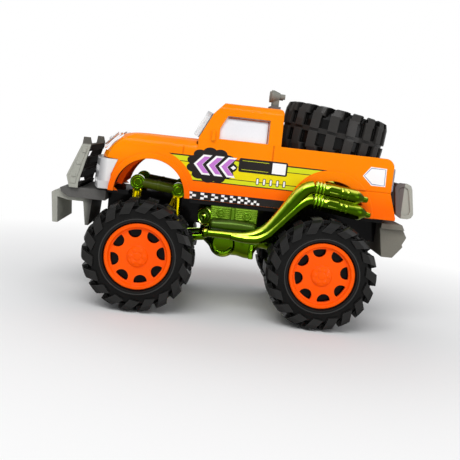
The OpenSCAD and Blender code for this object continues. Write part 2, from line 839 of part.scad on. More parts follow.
module gearbox() {
    x0 = rear_x + motor_l / 2 + 2;
    x1 = front_x - gearbox_back;
    h = spine_z - gearbox_z;
    belly = gearbox_z + h * 0.34;
    sump_x = front_x - wheel_base * 0.46;
    drop_x = front_x - wheel_base * 0.61;
    drop_l = gearbox_w / 5;
    arm_y = gearbox_w * 0.35;
    color("yellowgreen") {
        across(gearbox_w) polygon([[x0, spine_z], [x1, spine_z], [x1 + h * 0.16, spine_z - h * 0.32],
                                   [x1, belly], [x1 - h * 0.32, belly - 1], [x0 + h * 1.2, belly],
                                   [x0 + h * 0.32, belly - 1], [x0, belly + h * 0.2]]);
        intersection() {
            cross_rod(sump_x, gearbox_z + sump_r, sump_r, gearbox_w - 4);
            mid_block(sump_x - 2 * sump_r, sump_x + 2 * sump_r, gearbox_w, gearbox_z - 1, spine_z - 2);
        }
        mid_block(drop_x - drop_l / 2, drop_x + drop_l / 2, gearbox_w - 6, gearbox_z - 1, spine_z - 4);
        both_sides() bar([x1 - 3, arm_y, belly + 5.5], [front_x - carrier_l / 2 - eps, arm_y, belly + 1.5],
                         axle_d * 1.1, axle_d * 0.85);
    }
}

module engine(s) {
    h = deck_z - engine_z;
    x0 = engine_x - engine_l / 2;
    x1 = engine_x + engine_l / 2;
    y0 = spine_w / 2;
    pitch = (h - 1) / engine_ribs;
    cap_r = h * 0.21;
    color("yellowgreen") on_side(s) {
        block(x0, x1, y0, half_w, engine_z, deck_z);
        for (i = [0 : engine_ribs - 1])
            block(x0 - 0.8, x1 + 0.8, y0 + 3, half_w + 1, engine_z + 1 + i * pitch,
                  engine_z + 1 + (i + 0.5) * pitch);
        block(engine_x - engine_l * 0.02, engine_x + engine_l * 0.09, y0 + 3, half_w + 2.4, engine_z, deck_z);
        block(x0 + 3, x1 - 3, half_w - 5, exhaust_y + header_r, engine_z, engine_z + header_r * 0.8);
        for (k = [-0.27, 0.29]) translate([engine_x + engine_l * k, half_w - 2, engine_z + h * 0.47])
            rotate([-90, 0, 0]) {
                cylinder(r = cap_r, h = 4.6);
                cylinder(r = cap_r / 2, h = 5.6);
            }
        translate([x1 + drum_r * 0.37, half_w - 2 * drum_r, engine_z + h / 3]) rotate([-90, 0, 0]) {
            cylinder(r = drum_r, h = 2.1 * drum_r);
            cylinder(r = drum_r * 0.77, h = 2.2 * drum_r);
            cylinder(r = drum_r * 0.43, h = 2.4 * drum_r);
        }
    }
}

// pipe bend about the middle c, from angle a0 to a1 seen from the left
module elbow(c, bend, r, a0, a1) {
    translate(c) rotate([90, 0, 0]) rotate(a0) rotate_extrude(angle = a1 - a0) translate([bend, 0]) circle(r);
}

module exhaust(s) {
    head = [rear_x + header_back, exhaust_y, header_z];
    front = [max(engine_x + engine_l * 0.6, head[0] + bend_r), exhaust_y, header_z];
    low_c = head + [0, 0, bend_r];
    rise = low_c - bend_r * [sin(rise_a), 0, cos(rise_a)];
    up = [-cos(rise_a), 0, sin(rise_a)];
    ports = [for (i = [0.2, 0.5, 0.8]) head[0] + (front[0] - head[0]) * i];
    sleeve = 0.3;
    color("yellowgreen") on_side(s) {
        bar(front, head, header_r, header_r);
        bar(head + [bend_r * 0.8, 0, 0], head, header_r - sleeve, rise_r);
        elbow(low_c, bend_r, rise_r + sleeve, 267 - rise_a, 273);
        for (x = ports)
            bar([x, exhaust_y, header_z], [x, exhaust_y, engine_z - seat], header_r * 0.7, header_r * 0.7);
        for (m = mufflers) {
            a = [rear_x + m[0], exhaust_y, axle_z + m[1]];
            c = a + m[4] * [sin(m[2]), 0, -cos(m[2])];
            start = c + m[4] * [sin(rise_a), 0, cos(rise_a)];
            foot = m[0] == mufflers[0][0] ? rise : start - up * 2 * rise_r;
            bar(foot, start, rise_r, rise_r);
            elbow(c, m[4], rise_r + sleeve, 87 - rise_a, 93 + m[2]);
            muffler(a, m[3], m[2]);
        }
    }
}

// muffler from point a back, with clamp rings and a pointed end
module muffler(a, len, drop) {
    rings = 3;
    ring = muffler_r * 0.3;
    translate(a) rotate([0, -90 - drop, 0]) {
        cylinder(r = rise_r, h = len - muffler_tip);
        for (i = [0 : rings - 1]) translate([0, 0, ring * (1 + 2 * i)])
            cylinder(r = rise_r + ring * 0.6, h = ring);
        translate([0, 0, ring * 8]) cylinder(r = muffler_r, h = len - muffler_tip - ring * 8);
        translate([0, 0, len - muffler_tip]) cylinder(r1 = muffler_r, r2 = ring * 0.7, h = muffler_tip);
    }
}

// two dampers with eyelets and the tube that ties them
module dampers(s) {
    y = s * damper_y;
    a = [front_x + damper_front, y, axle_z + damper_h];
    b = [front_x - damper_back, y, axle_z + damper_h - 3];
    foot_z = spine_z + deck_t;
    color("yellowgreen") {
        for (p = [a, b]) translate(p) rotate([90, 0, 0]) {
            cylinder(r = eyelet_r, h = eyelet_w, center = true);
            cylinder(r = eyelet_r * 0.72, h = eyelet_w + 0.8, center = true);
            cylinder(r = eyelet_r * 0.4, h = eyelet_w + 1.6, center = true);
        }
        bar(a, b, tie_r, tie_r);
        bar([a[0], y, foot_z], a, post_r, post_r);
        bar([b[0], y, foot_z], b, post_r, post_r);
    }
}

body_shell();
windscreen();
window_insert();
headlamps();
tail_lamps();
front_fascia();
front_bumper();
front_guard();
front_skid();
rear_guard();
rear_skid();
light_bar();
spare_tyre();
spare_carrier();
chassis();
friction_motor();
gearbox();
engine(1);  // engine_left
engine(-1);  // engine_right
exhaust(1);  // exhaust_left
exhaust(-1);  // exhaust_right
dampers(1);  // dampers_left
dampers(-1);  // dampers_right
axle_rod(front_x);  // axle_front
axle_rod(rear_x);  // axle_rear
rim(0);  // rim_front_left
rim(1);  // rim_front_right
rim(2);  // rim_rear_left
rim(3);  // rim_rear_right
tyre(0);  // tyre_front_left
tyre(1);  // tyre_front_right
tyre(2);  // tyre_rear_left
tyre(3);  // tyre_rear_right
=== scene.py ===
"""Looks of a toy off-road pickup truck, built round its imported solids."""
import json
import math

import bmesh
import bpy
from mathutils import Matrix, Vector


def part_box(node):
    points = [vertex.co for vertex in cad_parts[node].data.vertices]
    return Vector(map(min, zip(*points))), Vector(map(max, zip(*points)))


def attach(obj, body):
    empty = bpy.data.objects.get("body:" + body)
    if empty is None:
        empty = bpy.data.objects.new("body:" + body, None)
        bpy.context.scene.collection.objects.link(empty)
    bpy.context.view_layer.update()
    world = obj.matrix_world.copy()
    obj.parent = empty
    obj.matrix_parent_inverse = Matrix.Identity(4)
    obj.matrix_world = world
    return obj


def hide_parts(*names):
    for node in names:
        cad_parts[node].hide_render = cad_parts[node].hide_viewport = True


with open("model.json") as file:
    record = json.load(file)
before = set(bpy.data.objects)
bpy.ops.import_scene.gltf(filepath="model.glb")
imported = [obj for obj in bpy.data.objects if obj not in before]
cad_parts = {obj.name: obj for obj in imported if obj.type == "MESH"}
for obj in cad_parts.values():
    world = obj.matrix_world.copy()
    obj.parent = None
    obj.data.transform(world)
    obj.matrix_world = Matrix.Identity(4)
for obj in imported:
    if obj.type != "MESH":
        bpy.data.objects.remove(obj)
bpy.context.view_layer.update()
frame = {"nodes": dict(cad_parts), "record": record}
nodes = frame["nodes"]

MM = 0.001
ACROSS = (0, 1, 0)


def middle(node):
    """Middle of a solid's box, in millimetres."""
    low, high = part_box(node)
    return (Vector(low) + Vector(high)) / 2 / MM


def reach(node, axis, side):
    """One face of a solid's box, in millimetres."""
    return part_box(node)[side][axis] / MM


FRONT_X = middle("axle_front").x
REAR_X = middle("axle_rear").x
AXLE_Z = middle("axle_front").z
SIDE_Y = 43.0
SILL_Z = reach("body_shell", 2, 0)
FRONT_ARCH_X = FRONT_X - 1.8
REAR_ARCH_X = REAR_X - 4.0


# Shader groups

class Tree:
    """Short way to add and join shader nodes."""

    def __init__(self, tree):
        self.tree = tree

    def add(self, kind, **settings):
        node = self.tree.nodes.new(kind)
        for key, value in settings.items():
            if key in node.inputs:
                node.inputs[key].default_value = value
            else:
                setattr(node, key, value)
        return node

    def join(self, out, to):
        self.tree.links.new(out, to)

    def math(self, operation, a, b=None, clamp=False):
        node = self.add("ShaderNodeMath", operation=operation, use_clamp=clamp)
        for socket, value in zip(node.inputs, (a, b)):
            if isinstance(value, (int, float)):
                socket.default_value = value
            elif value is not None:
                self.join(value, socket)
        return node.outputs[0]

    def blend(self, factor, a, b, mode="MIX"):
        node = self.add("ShaderNodeMix", data_type="RGBA", blend_type=mode)
        for socket, value in ((node.inputs[0], factor), (node.inputs[6], a), (node.inputs[7], b)):
            if isinstance(value, (int, float)):
                socket.default_value = value
            elif isinstance(value, (tuple, list)):
                socket.default_value = (*value[:3], 1)
            else:
                self.join(value, socket)
        return node.outputs[2]

    def ramp(self, value, low, high, to_low=0.0, to_high=1.0):
        node = self.add("ShaderNodeMapRange")
        self.join(value, node.inputs["Value"])
        for key, number in (("From Min", low), ("From Max", high), ("To Min", to_low), ("To Max", to_high)):
            node.inputs[key].default_value = number
        return node.outputs["Result"]


def new_group(name, inputs, outputs):
    tree = bpy.data.node_groups.new(name, "ShaderNodeTree")
    for label, default in inputs:
        socket = tree.interface.new_socket(name=label, in_out="INPUT", socket_type="NodeSocketFloat")
        socket.default_value = default
    for label, kind in outputs:
        tree.interface.new_socket(name=label, in_out="OUTPUT", socket_type=kind)
    t = Tree(tree)
    return t, t.add("NodeGroupInput"), t.add("NodeGroupOutput")


def moulded_skin():
    """Rounded edges, fine moulding texture and slow changes of tone."""
    t, gin, gout = new_group(
        "moulded_skin",
        [("Edge radius", 0.0005), ("Grain size", 900.0), ("Grain depth", 0.1), ("Waviness", 0.1)],
        [("Normal", "NodeSocketVector"), ("Tone", "NodeSocketFloat"), ("Edge", "NodeSocketFloat")])
    where = t.add("ShaderNodeTexCoord").outputs["Object"]
    bevel = t.add("ShaderNodeBevel", samples=6)
    t.join(gin.outputs["Edge radius"], bevel.inputs["Radius"])
    slow = t.add("ShaderNodeTexNoise", Scale=28.0, Detail=2.0)
    fine = t.add("ShaderNodeTexNoise", Detail=3.0)
    for noise in (slow, fine):
        t.join(where, noise.inputs["Vector"])
    t.join(gin.outputs["Grain size"], fine.inputs["Scale"])
    wave = t.add("ShaderNodeBump", Distance=0.0006)
    t.join(gin.outputs["Waviness"], wave.inputs["Strength"])
    t.join(slow.outputs["Fac"], wave.inputs["Height"])
    t.join(bevel.outputs["Normal"], wave.inputs["Normal"])
    grain = t.add("ShaderNodeBump", Distance=0.0002)
    t.join(gin.outputs["Grain depth"], grain.inputs["Strength"])
    t.join(fine.outputs["Fac"], grain.inputs["Height"])
    t.join(wave.outputs["Normal"], grain.inputs["Normal"])
    t.join(grain.outputs["Normal"], gout.inputs["Normal"])
    slow_share = t.math("MULTIPLY", slow.outputs["Fac"], 0.7)
    fine_share = t.math("MULTIPLY", fine.outputs["Fac"], 0.3)
    t.join(t.math("ADD", slow_share, fine_share), gout.inputs["Tone"])
    flat = t.add("ShaderNodeNewGeometry")
    dot = t.add("ShaderNodeVectorMath", operation="DOT_PRODUCT")
    t.join(bevel.outputs["Normal"], dot.inputs[0])
    t.join(flat.outputs["Normal"], dot.inputs[1])
    edge = t.math("MULTIPLY", t.math("SUBTRACT", 1.0, dot.outputs["Value"], clamp=True), 4.0, clamp=True)
    t.join(edge, gout.inputs["Edge"])
    return t.tree


def dust_film():
    """Thin patchy dust on faces that look up."""
    t, gin, gout = new_group("dust_film", [("Amount", 0.1)], [("Mask", "NodeSocketFloat")])
    split = t.add("ShaderNodeSeparateXYZ")
    t.join(t.add("ShaderNodeNewGeometry").outputs["Normal"], split.inputs[0])
    patch = t.add("ShaderNodeTexNoise", Scale=160.0, Detail=5.0)
    t.join(t.add("ShaderNodeTexCoord").outputs["Object"], patch.inputs["Vector"])
    up = t.ramp(split.outputs["Z"], 0.2, 1.0)
    patches = t.math("MULTIPLY", up, t.ramp(patch.outputs["Fac"], 0.45, 0.75))
    t.join(t.math("MULTIPLY", patches, gin.outputs["Amount"]), gout.inputs["Mask"])
    return t.tree


SKIN = moulded_skin()
DUST = dust_film()


def use_group(t, tree, **values):
    node = t.add("ShaderNodeGroup", node_tree=tree)
    for key, value in values.items():
        node.inputs[key.replace("_", " ").capitalize()].default_value = value
    return node


# Finishes

PLASTIC_GRAIN = 900.0
DUST_COLOUR = (0.55, 0.52, 0.48)
COAT_ROUGHNESS = 0.12
INK_ROUGHNESS = 0.35


def finish_of(name):
    material = bpy.data.materials.new(name)
    material.use_nodes = True
    return material, Tree(material.node_tree), material.node_tree.nodes["Principled BSDF"]


def place_axes(t):
    split = t.add("ShaderNodeSeparateXYZ")
    t.join(t.add("ShaderNodeTexCoord").outputs["Object"], split.inputs[0])
    return split.outputs


def along(axis, start, end):
    """Mask that grows from one place to another along an axis, in millimetres."""
    return lambda t: t.ramp(place_axes(t)[axis], start * MM, end * MM)


def outside(start, end):
    """Mask that grows outwards to both sides of the truck."""
    return lambda t: t.ramp(t.math("ABSOLUTE", place_axes(t)["Y"]), start * MM, end * MM)


def from_axis(centre, turn, start, end):
    """Mask that grows with the distance from an axle or tyre axis."""
    def mask(t):
        local = t.add("ShaderNodeMapping", vector_type="TEXTURE", Location=centre * MM, Rotation=turn)
        t.join(t.add("ShaderNodeTexCoord").outputs["Object"], local.inputs["Vector"])
        flat = t.add("ShaderNodeVectorMath", operation="MULTIPLY")
        flat.inputs[1].default_value = (1, 1, 0)
        t.join(local.outputs["Vector"], flat.inputs[0])
        size = t.add("ShaderNodeVectorMath", operation="LENGTH")
        t.join(flat.outputs["Vector"], size.inputs[0])
        return t.ramp(size.outputs["Value"], start * MM, end * MM)
    return mask


def with_shades(t, colour, shades):
    """Colour with each shade laid over it by its mask."""
    for mask, shade in shades:
        colour = t.blend(mask(t), colour, shade)
    return colour


def plastic(name, dark, light, roughness=0.3, edge=0.5, grain=0.08, waviness=0.05, dust=0.04, edge_highlight=None,
            edge_highlight_amount=0.0, metallic=0.0, specular=0.5, coat=0.0, shades=()):
    """Moulded surface between two close colours; shades are masks with the colour that they bring; the edge
    colour, as strong as its amount, paints a highlight along the rounded edges.
    """
    material, t, shader = finish_of(name)
    skin = use_group(t, SKIN, edge_radius=edge * MM, grain_depth=grain, waviness=waviness,
                     grain_size=PLASTIC_GRAIN)
    film = use_group(t, DUST, amount=dust)
    colour = t.blend(t.ramp(skin.outputs["Tone"], 0.35, 0.65), dark, light)
    colour = with_shades(t, colour, shades)
    # painted highlight along the rounded edges
    if edge_highlight:
        colour = t.blend(t.math("MULTIPLY", skin.outputs["Edge"], edge_highlight_amount), colour, edge_highlight)
    colour = t.blend(film.outputs["Mask"], colour, DUST_COLOUR)
    t.join(colour, shader.inputs["Base Color"])
    uneven = t.ramp(skin.outputs["Tone"], 0.2, 0.8, roughness - 0.03, roughness + 0.03)
    t.join(uneven, shader.inputs["Roughness"])
    t.join(skin.outputs["Normal"], shader.inputs["Normal"])
    shader.inputs["Metallic"].default_value = metallic
    shader.inputs["Specular IOR Level"].default_value = specular
    shader.inputs["Coat Weight"].default_value = coat
    shader.inputs["Coat Roughness"].default_value = COAT_ROUGHNESS
    return material


# plating: slope of the surface from facing down to facing up, and the colour painted there for its
# reflections and highlights
PAINTED_PLATING_REFLECTIONS = [(-1.0, (0.30, 0.38, 0.012)), (-0.74, (0.14, 0.20, 0.004)), (-0.4, (0.028, 0.050, 0.001)),
           (0.0, (0.034, 0.078, 0.001)), (0.26, (0.022, 0.056, 0.001)), (0.44, (0.085, 0.20, 0.003)),
           (0.58, (0.66, 0.76, 0.08)), (0.70, (0.84, 0.86, 0.14)), (0.82, (0.30, 0.45, 0.018)),
           (1.0, (0.15, 0.29, 0.006))]
PAINTED_REFLECTION_UP = (0.34, 0.0, 0.94)


def plated(name, lift=1.0, waviness=0.3, shades=()):
    """Green lacquer over vacuum plating with painted reflections: dark on upright faces and a painted yellow
    highlight where it turns up; lift brightens or darkens them.
    """
    material, t, shader = finish_of(name)
    skin = use_group(t, SKIN, edge_radius=0.7 * MM, grain_depth=0.02, waviness=waviness, grain_size=300.0)
    slope = t.add("ShaderNodeVectorMath", operation="DOT_PRODUCT")
    t.join(skin.outputs["Normal"], slope.inputs[0])
    slope.inputs[1].default_value = PAINTED_REFLECTION_UP
    drift = t.math("ADD", slope.outputs["Value"], t.ramp(skin.outputs["Tone"], 0.3, 0.7, -0.1, 0.1))
    scale = t.add("ShaderNodeValToRGB")
    t.join(t.ramp(drift, -1.0, 1.0), scale.inputs["Fac"])
    stops = scale.color_ramp.elements
    for at, colour in PAINTED_PLATING_REFLECTIONS:
        stop = stops.new(0.5 + at / 2) if abs(at) < 1 else stops[0 if at < 0 else len(stops) - 1]
        stop.color = (*(min(1.0, c * lift) for c in colour), 1)
    t.join(with_shades(t, scale.outputs["Color"], shades), shader.inputs["Base Color"])
    t.join(t.ramp(skin.outputs["Tone"], 0.3, 0.7, 0.1, 0.18), shader.inputs["Roughness"])
    t.join(skin.outputs["Normal"], shader.inputs["Normal"])
    shader.inputs["Metallic"].default_value = 1.0
    return material


def clear_plastic(name, tint=(0.95, 0.97, 0.98), bend=1.3, shades=()):
    """Clear moulding; bend is how strongly it refracts."""
    material, t, shader = finish_of(name)
    skin = use_group(t, SKIN, edge_radius=0.3 * MM, grain_depth=0.0, waviness=0.2)
    colour = t.blend(skin.outputs["Tone"], tint, (1, 1, 1))
    t.join(with_shades(t, colour, shades), shader.inputs["Base Color"])
    t.join(skin.outputs["Normal"], shader.inputs["Normal"])
    shader.inputs["Transmission Weight"].default_value = 1.0
    shader.inputs["Roughness"].default_value = 0.03
    shader.inputs["IOR"].default_value = bend
    return material


def printed_film(name, colour):
    """Printed sticker with a fine screen in its ink."""
    material, t, shader = finish_of(name)
    skin = use_group(t, SKIN, edge_radius=0.02 * MM, grain_depth=0.02, waviness=0.1, grain_size=1500.0)
    paler = tuple(min(1.0, c * 1.1 + 0.01) for c in colour)
    t.join(t.blend(t.ramp(skin.outputs["Tone"], 0.3, 0.7), colour, paler), shader.inputs["Base Color"])
    uneven = t.ramp(skin.outputs["Tone"], 0.2, 0.8, INK_ROUGHNESS - 0.04, INK_ROUGHNESS + 0.04)
    t.join(uneven, shader.inputs["Roughness"])
    t.join(skin.outputs["Normal"], shader.inputs["Normal"])
    shader.inputs["Specular IOR Level"].default_value = 0.1
    return material


# painted highlight along the edges of the grey pieces
GREY_EDGE_HIGHLIGHT = {"edge_highlight": (0.45, 0.45, 0.42), "edge_highlight_amount": 0.12}
# rubber with a painted highlight along the lug edges
RUBBER = {"roughness": 0.42, "edge": 0.6, "grain": 0.3, "dust": 0.01, "specular": 0.0, "coat": 0.2,
          "edge_highlight": (0.085, 0.083, 0.08), "edge_highlight_amount": 0.5}
FINISHES = {
    # body orange: lighter and yellower towards the front, a painted highlight; darker and redder towards the
    # bottom, painted shade; and a painted highlight along its edges
    "orange_plastic": plastic(
        "orange_plastic", (0.96, 0.225, 0.0), (1.0, 0.25, 0.001), roughness=0.33, edge=1.1, specular=0.0,
        coat=0.14, edge_highlight=(1.0, 0.33, 0.01), edge_highlight_amount=0.4,
        shades=[(along("X", 55, 95), (1.0, 0.275, 0.0)), (along("Z", 112, 90), (1.0, 0.138, 0.0))]),
    # rim orange with a painted highlight along its edges
    "rim_plastic": plastic(
        "rim_plastic", (0.95, 0.088, 0.001), (1.0, 0.11, 0.002), roughness=0.3, edge=0.7, specular=0.0,
        coat=0.14, edge_highlight=(1.0, 0.22, 0.02), edge_highlight_amount=0.5),
    "green_chrome": plated("green_chrome"),
    "grey_plastic": plastic(
        "grey_plastic", (0.12, 0.12, 0.105), (0.155, 0.155, 0.135), roughness=0.36, edge=0.6, specular=0.1,
        coat=0.1, **GREY_EDGE_HIGHLIGHT),
    # silver with a painted highlight along its edges
    "silver_plastic": plastic(
        "silver_plastic", (0.56, 0.56, 0.56), (0.66, 0.66, 0.66), roughness=0.25, edge=0.6, metallic=0.3,
        grain=0.02, edge_highlight=(0.85, 0.85, 0.85), edge_highlight_amount=0.4),
    "black_plastic": plastic(
        "black_plastic", (0.005, 0.005, 0.0055), (0.009, 0.009, 0.009), roughness=0.32, edge=0.5,
        specular=0.0, coat=0.15),
    "motor_plastic": plastic(
        "motor_plastic", (0.01, 0.01, 0.011), (0.02, 0.02, 0.021), roughness=0.5, edge=0.6, specular=0.0),
    "rubber": plastic("rubber", (0.004, 0.0039, 0.0038), (0.009, 0.0088, 0.0085), **RUBBER),
    "axle_steel": plastic(
        "axle_steel", (0.5, 0.5, 0.5), (0.62, 0.62, 0.62), roughness=0.25, edge=0.2, metallic=1.0),
    "clear_plastic": clear_plastic("clear_plastic"),
    "milky_plastic": plastic(
        "milky_plastic", (0.74, 0.74, 0.76), (0.80, 0.80, 0.82), roughness=0.25, edge=0.3),
}

# Finishes of single pieces, which share a slot with the plainer one

GUARD_GREY = ((0.335, 0.337, 0.295), (0.395, 0.397, 0.348))
GUARD = {"roughness": 0.4, "edge": 0.6, "specular": 0.0, "coat": 0.02, **GREY_EDGE_HIGHLIGHT}
# painted shade for the front guard's rungs
RUNG_SHADE_GREY = (0.011, 0.0095, 0.009)
TYRE_BLACK = ((0.004, 0.0039, 0.0038), (0.008, 0.0078, 0.0075))
LUG_GREY = (0.019, 0.0186, 0.018)
SHOULDER_Y = (69.0, 69.3)
LUG_TIPS = (37.4, 38.6)
SPARE_MIDDLE, SPARE_TURN = middle("spare_tyre"), (0, -math.radians(7.5), 0)
AXLE_TURN = (math.pi / 2, 0, 0)
PIECE_FINISHES = {
    # front guard: its rungs between the side plates painted dark grey, as shade
    "front_guard": plastic(
        "guard_plastic", *GUARD_GREY, **GUARD,
        shades=[(outside(36.7, 36.2), RUNG_SHADE_GREY), (along("Z", 112.2, 113.2), (0.11, 0.105, 0.093))]),
    # rear guard: painted shade, brown on the part of the plate towards the body and darker on the inner
    # faces in its recess
    "rear_guard": plastic(
        "rear_guard_plastic", *GUARD_GREY, **GUARD,
        shades=[(along("X", -125.5, -124.9), (0.15, 0.128, 0.122)),
                (outside(28.4, 27.8), (0.06, 0.05, 0.046))]),
    "front_bumper": plastic("bumper_plastic", (0.10, 0.098, 0.094), (0.13, 0.127, 0.12), **GUARD),
    # front skid: painted shade, darker on its rear part
    "front_skid": plastic(
        "front_skid_plastic", *GUARD_GREY, **GUARD, shades=[(along("X", 112, 106), (0.10, 0.098, 0.09))]),
    "rear_skid": plastic("rear_skid_plastic", (0.185, 0.176, 0.148), (0.22, 0.21, 0.176), **GUARD),
    # fascia: painted shade, darker grey towards the front corner; slightly darker below z 88
    "front_fascia": plastic(
        "fascia_plastic", (0.70, 0.70, 0.70), (0.76, 0.76, 0.76), roughness=0.22, edge=0.6, specular=0.2,
        grain=0.02,
        shades=[(along("X", 94, 98.5), (0.34, 0.34, 0.345)), (along("Z", 88.6, 87.8), (0.60, 0.60, 0.60))]),
    "light_bar": plastic(
        "lamp_plastic", (0.20, 0.203, 0.18), (0.245, 0.248, 0.22), **GUARD,
        shades=[(along("Z", 157.6, 155.6), (0.15, 0.145, 0.14))]),
    "windscreen": clear_plastic("screen_plastic", shades=[(along("Z", 142.5, 146.5), (0.16, 0.16, 0.19))]),
    "tail_lamps": plastic(
        "tail_lamp_plastic", (0.22, 0.245, 0.30), (0.30, 0.33, 0.39), roughness=0.12, edge=0.4, grain=0.02),
    "headlamps": clear_plastic("lens_plastic", tint=(0.84, 0.83, 0.88), bend=1.12),
    # spare tyre: painted reflection, its lug tips lighter
    "spare_tyre": plastic(
        "spare_rubber", *TYRE_BLACK, **RUBBER,
        shades=[(from_axis(SPARE_MIDDLE, SPARE_TURN, *LUG_TIPS), (0.035, 0.033, 0.031))]),
}
damper = plated("damper_plating", shades=[(along("Z", 82.5, 81.5), (0.80, 0.62, 0.0))])
for side in ("left", "right"):
    PIECE_FINISHES[f"dampers_{side}"] = damper
for axle, axle_x in (("front", FRONT_X), ("rear", REAR_X)):
    axle_middle = Vector((axle_x, 0, AXLE_Z))
    # painted highlight: a thin light ring on the sidewall at the bead, 26 to 27 mm from the axle
    tyre = plastic(
        f"{axle}_tyre_rubber", *TYRE_BLACK, **RUBBER,
        shades=[(from_axis(axle_middle, AXLE_TURN, 26.9, 26.5), (0.05, 0.05, 0.048)),
                (from_axis(axle_middle, AXLE_TURN, 26.3, 26.0), (0.006, 0.0058, 0.0056)),
                (outside(*SHOULDER_Y), LUG_GREY),
                (from_axis(axle_middle, AXLE_TURN, *LUG_TIPS), (0.016, 0.0157, 0.015))])
    for side in ("left", "right"):
        PIECE_FINISHES[f"tyre_{axle}_{side}"] = tyre

# Finishes of the trim

GREEN_LACQUER = {"roughness": 0.2, "edge": 0.4, "grain": 0.02, "waviness": 0.2, "metallic": 0.6,
                 "specular": 0.3}
# engine green with a painted highlight along the rib edges
ENGINE_GREEN = plastic("engine_green", (0.085, 0.195, 0.003), (0.13, 0.27, 0.006), edge_highlight=(0.42, 0.60, 0.04),
                       edge_highlight_amount=0.6, **GREEN_LACQUER)
# darker copy of the engine green: painted shade on the manifold under the block and in the drum's recess
MANIFOLD_GREEN = plastic("manifold_green", (0.034, 0.068, 0.001), (0.046, 0.09, 0.002), **GREEN_LACQUER)
# brighter copies of the plating: painted reflections and highlights stronger on the gearbox casing, and
# strongest on the clamps, trims and eyelet rings
CASING_PLATING = plated("casing_plating", lift=1.8, waviness=0.2)
CLAMP_PLATING = plated("clamp_plating", lift=4.0, waviness=0.1)
# the body orange made redder and darker: painted shade inside the front wheel wells
WELL_PLASTIC = plastic("well_plastic", (0.95, 0.075, 0.002), (1.0, 0.09, 0.003), roughness=0.4, edge=0.4,
                       specular=0.0)
LINK_GREEN = plastic("link_green", (0.055, 0.078, 0.004), (0.075, 0.10, 0.006), roughness=0.22, edge=0.4,
                     specular=0.0, coat=0.2, waviness=0.2)
POST_GOLD = plastic("post_gold", (0.72, 0.55, 0.0), (0.82, 0.64, 0.004), roughness=0.2, edge=0.3,
                    metallic=0.8)
# dark red-brown of the painted shade lines in the side windows
WINDOW_SHADOW_PLASTIC = plastic("window_shadow_plastic", (0.24, 0.055, 0.016), (0.30, 0.068, 0.02), roughness=0.5, edge=0.2,
                       specular=0.1)
INKS = {
    "yellow": printed_film("yellow_ink", (0.76, 0.62, 0.0)),
    "lime": printed_film("lime_ink", (0.62, 0.66, 0.01)),
    "black": printed_film("black_ink", (0.012, 0.009, 0.008)),
    "white": printed_film("white_ink", (0.86, 0.84, 0.84)),
    "purple": printed_film("purple_ink", (0.50, 0.17, 0.56)),
    "blue_grey": printed_film("blue_grey_ink", (0.22, 0.25, 0.42)),
}
SLOTS = {row["node"]: row["material_slot"] for row in frame["record"]["subparts"]}

for name, obj in nodes.items():
    obj.data.materials.clear()
    obj.data.materials.append(PIECE_FINISHES.get(name, FINISHES[SLOTS[name]]))


# Mesh forms

def smooth_rows(rows, steps):
    """Smooth curve through rows of numbers."""
    out = []
    for i in range(len(rows) - 1):
        p = [Vector(rows[max(0, min(len(rows) - 1, k))]) for k in (i - 1, i, i + 1, i + 2)]
        for j in range(steps):
            t = j / steps
            out.append(0.5 * (2 * p[1] + (p[2] - p[0]) * t + (2 * p[0] - 5 * p[1] + 4 * p[2] - p[3]) * t ** 2
                              + (3 * p[1] - p[0] - 3 * p[2] + p[3]) * t ** 3))
    return out + [Vector(rows[-1])]


def inset(outline, by):
    """Outline moved inwards; it runs anticlockwise in x, z."""
    out = []
    for i, (x, z) in enumerate(outline):
        (x0, z0), (x1, z1) = outline[i - 1], outline[(i + 1) % len(outline)]
        run = Vector((x1 - x0, z1 - z0)).normalized()
        out.append((x - run.y * by, z + run.x * by))
    return out


class Form:
    """Vertices and faces of one piece, in millimetres."""

    def __init__(self):
        self.verts = []
        self.faces = []

    def rings(self, rings):
        """Skin over closed rings of points, closed at both ends."""
        start, n = len(self.verts), len(rings[0])
        for ring in rings:
            self.verts += ring
        for i in range(len(rings) - 1):
            for k in range(n):
                a, b = start + i * n + k, start + i * n + (k + 1) % n
                self.faces.append((a, b, b + n, a + n))
        last = start + (len(rings) - 1) * n
        self.faces.append(tuple(range(start, start + n)))
        self.faces.append(tuple(range(last, last + n)))

    def tube(self, points, radii, sides, raised=None):
        """Pipe along points that lie in one upright plane; raised(i, angle) lifts its skin."""
        across = Vector(ACROSS)
        rings = []
        for i, (p, r) in enumerate(zip(points, radii)):
            ahead = points[min(i + 1, len(points) - 1)] - points[max(i - 1, 0)]
            up = ahead.normalized().cross(across)
            ring = []
            for k in range(sides):
                a = 2 * math.pi * k / sides
                lift = r + (raised(i, a) if raised else 0)
                ring.append(p + lift * (math.cos(a) * across + math.sin(a) * up))
            rings.append(ring)
        self.rings(rings)

    def lathe(self, place, axis, profile, sides=48):
        """Turned form: profile rows are distance along the axis, radius."""
        axis = Vector(axis).normalized()
        u = axis.orthogonal().normalized()
        v = axis.cross(u)
        self.rings([[Vector(place) + d * axis + r * (math.cos(a) * u + math.sin(a) * v)
                     for a in (2 * math.pi * k / sides for k in range(sides))] for d, r in profile])

    def sheet(self, outline, y):
        """Flat face at y from an outline in x, z."""
        start = len(self.verts)
        self.verts += [Vector((x, y, z)) for x, z in outline]
        self.faces.append(tuple(range(start, len(self.verts))))

    def slab(self, outline, y0, y1, edge=0.3):
        """Plate from an outline in x, z between two depths, with a softened outer rim."""
        step = math.copysign(edge, y1 - y0)
        rows = ((outline, y0), (outline, y1 - step), (inset(outline, edge), y1))
        self.rings([[Vector((x, y, z)) for x, z in row] for row, y in rows])

    def mirrored(self):
        other = Form()
        other.verts = [Vector((v[0], -v[1], v[2])) for v in self.verts]
        other.faces = [tuple(reversed(f)) for f in self.faces]
        return other


SHARP_ANGLE = math.radians(38)


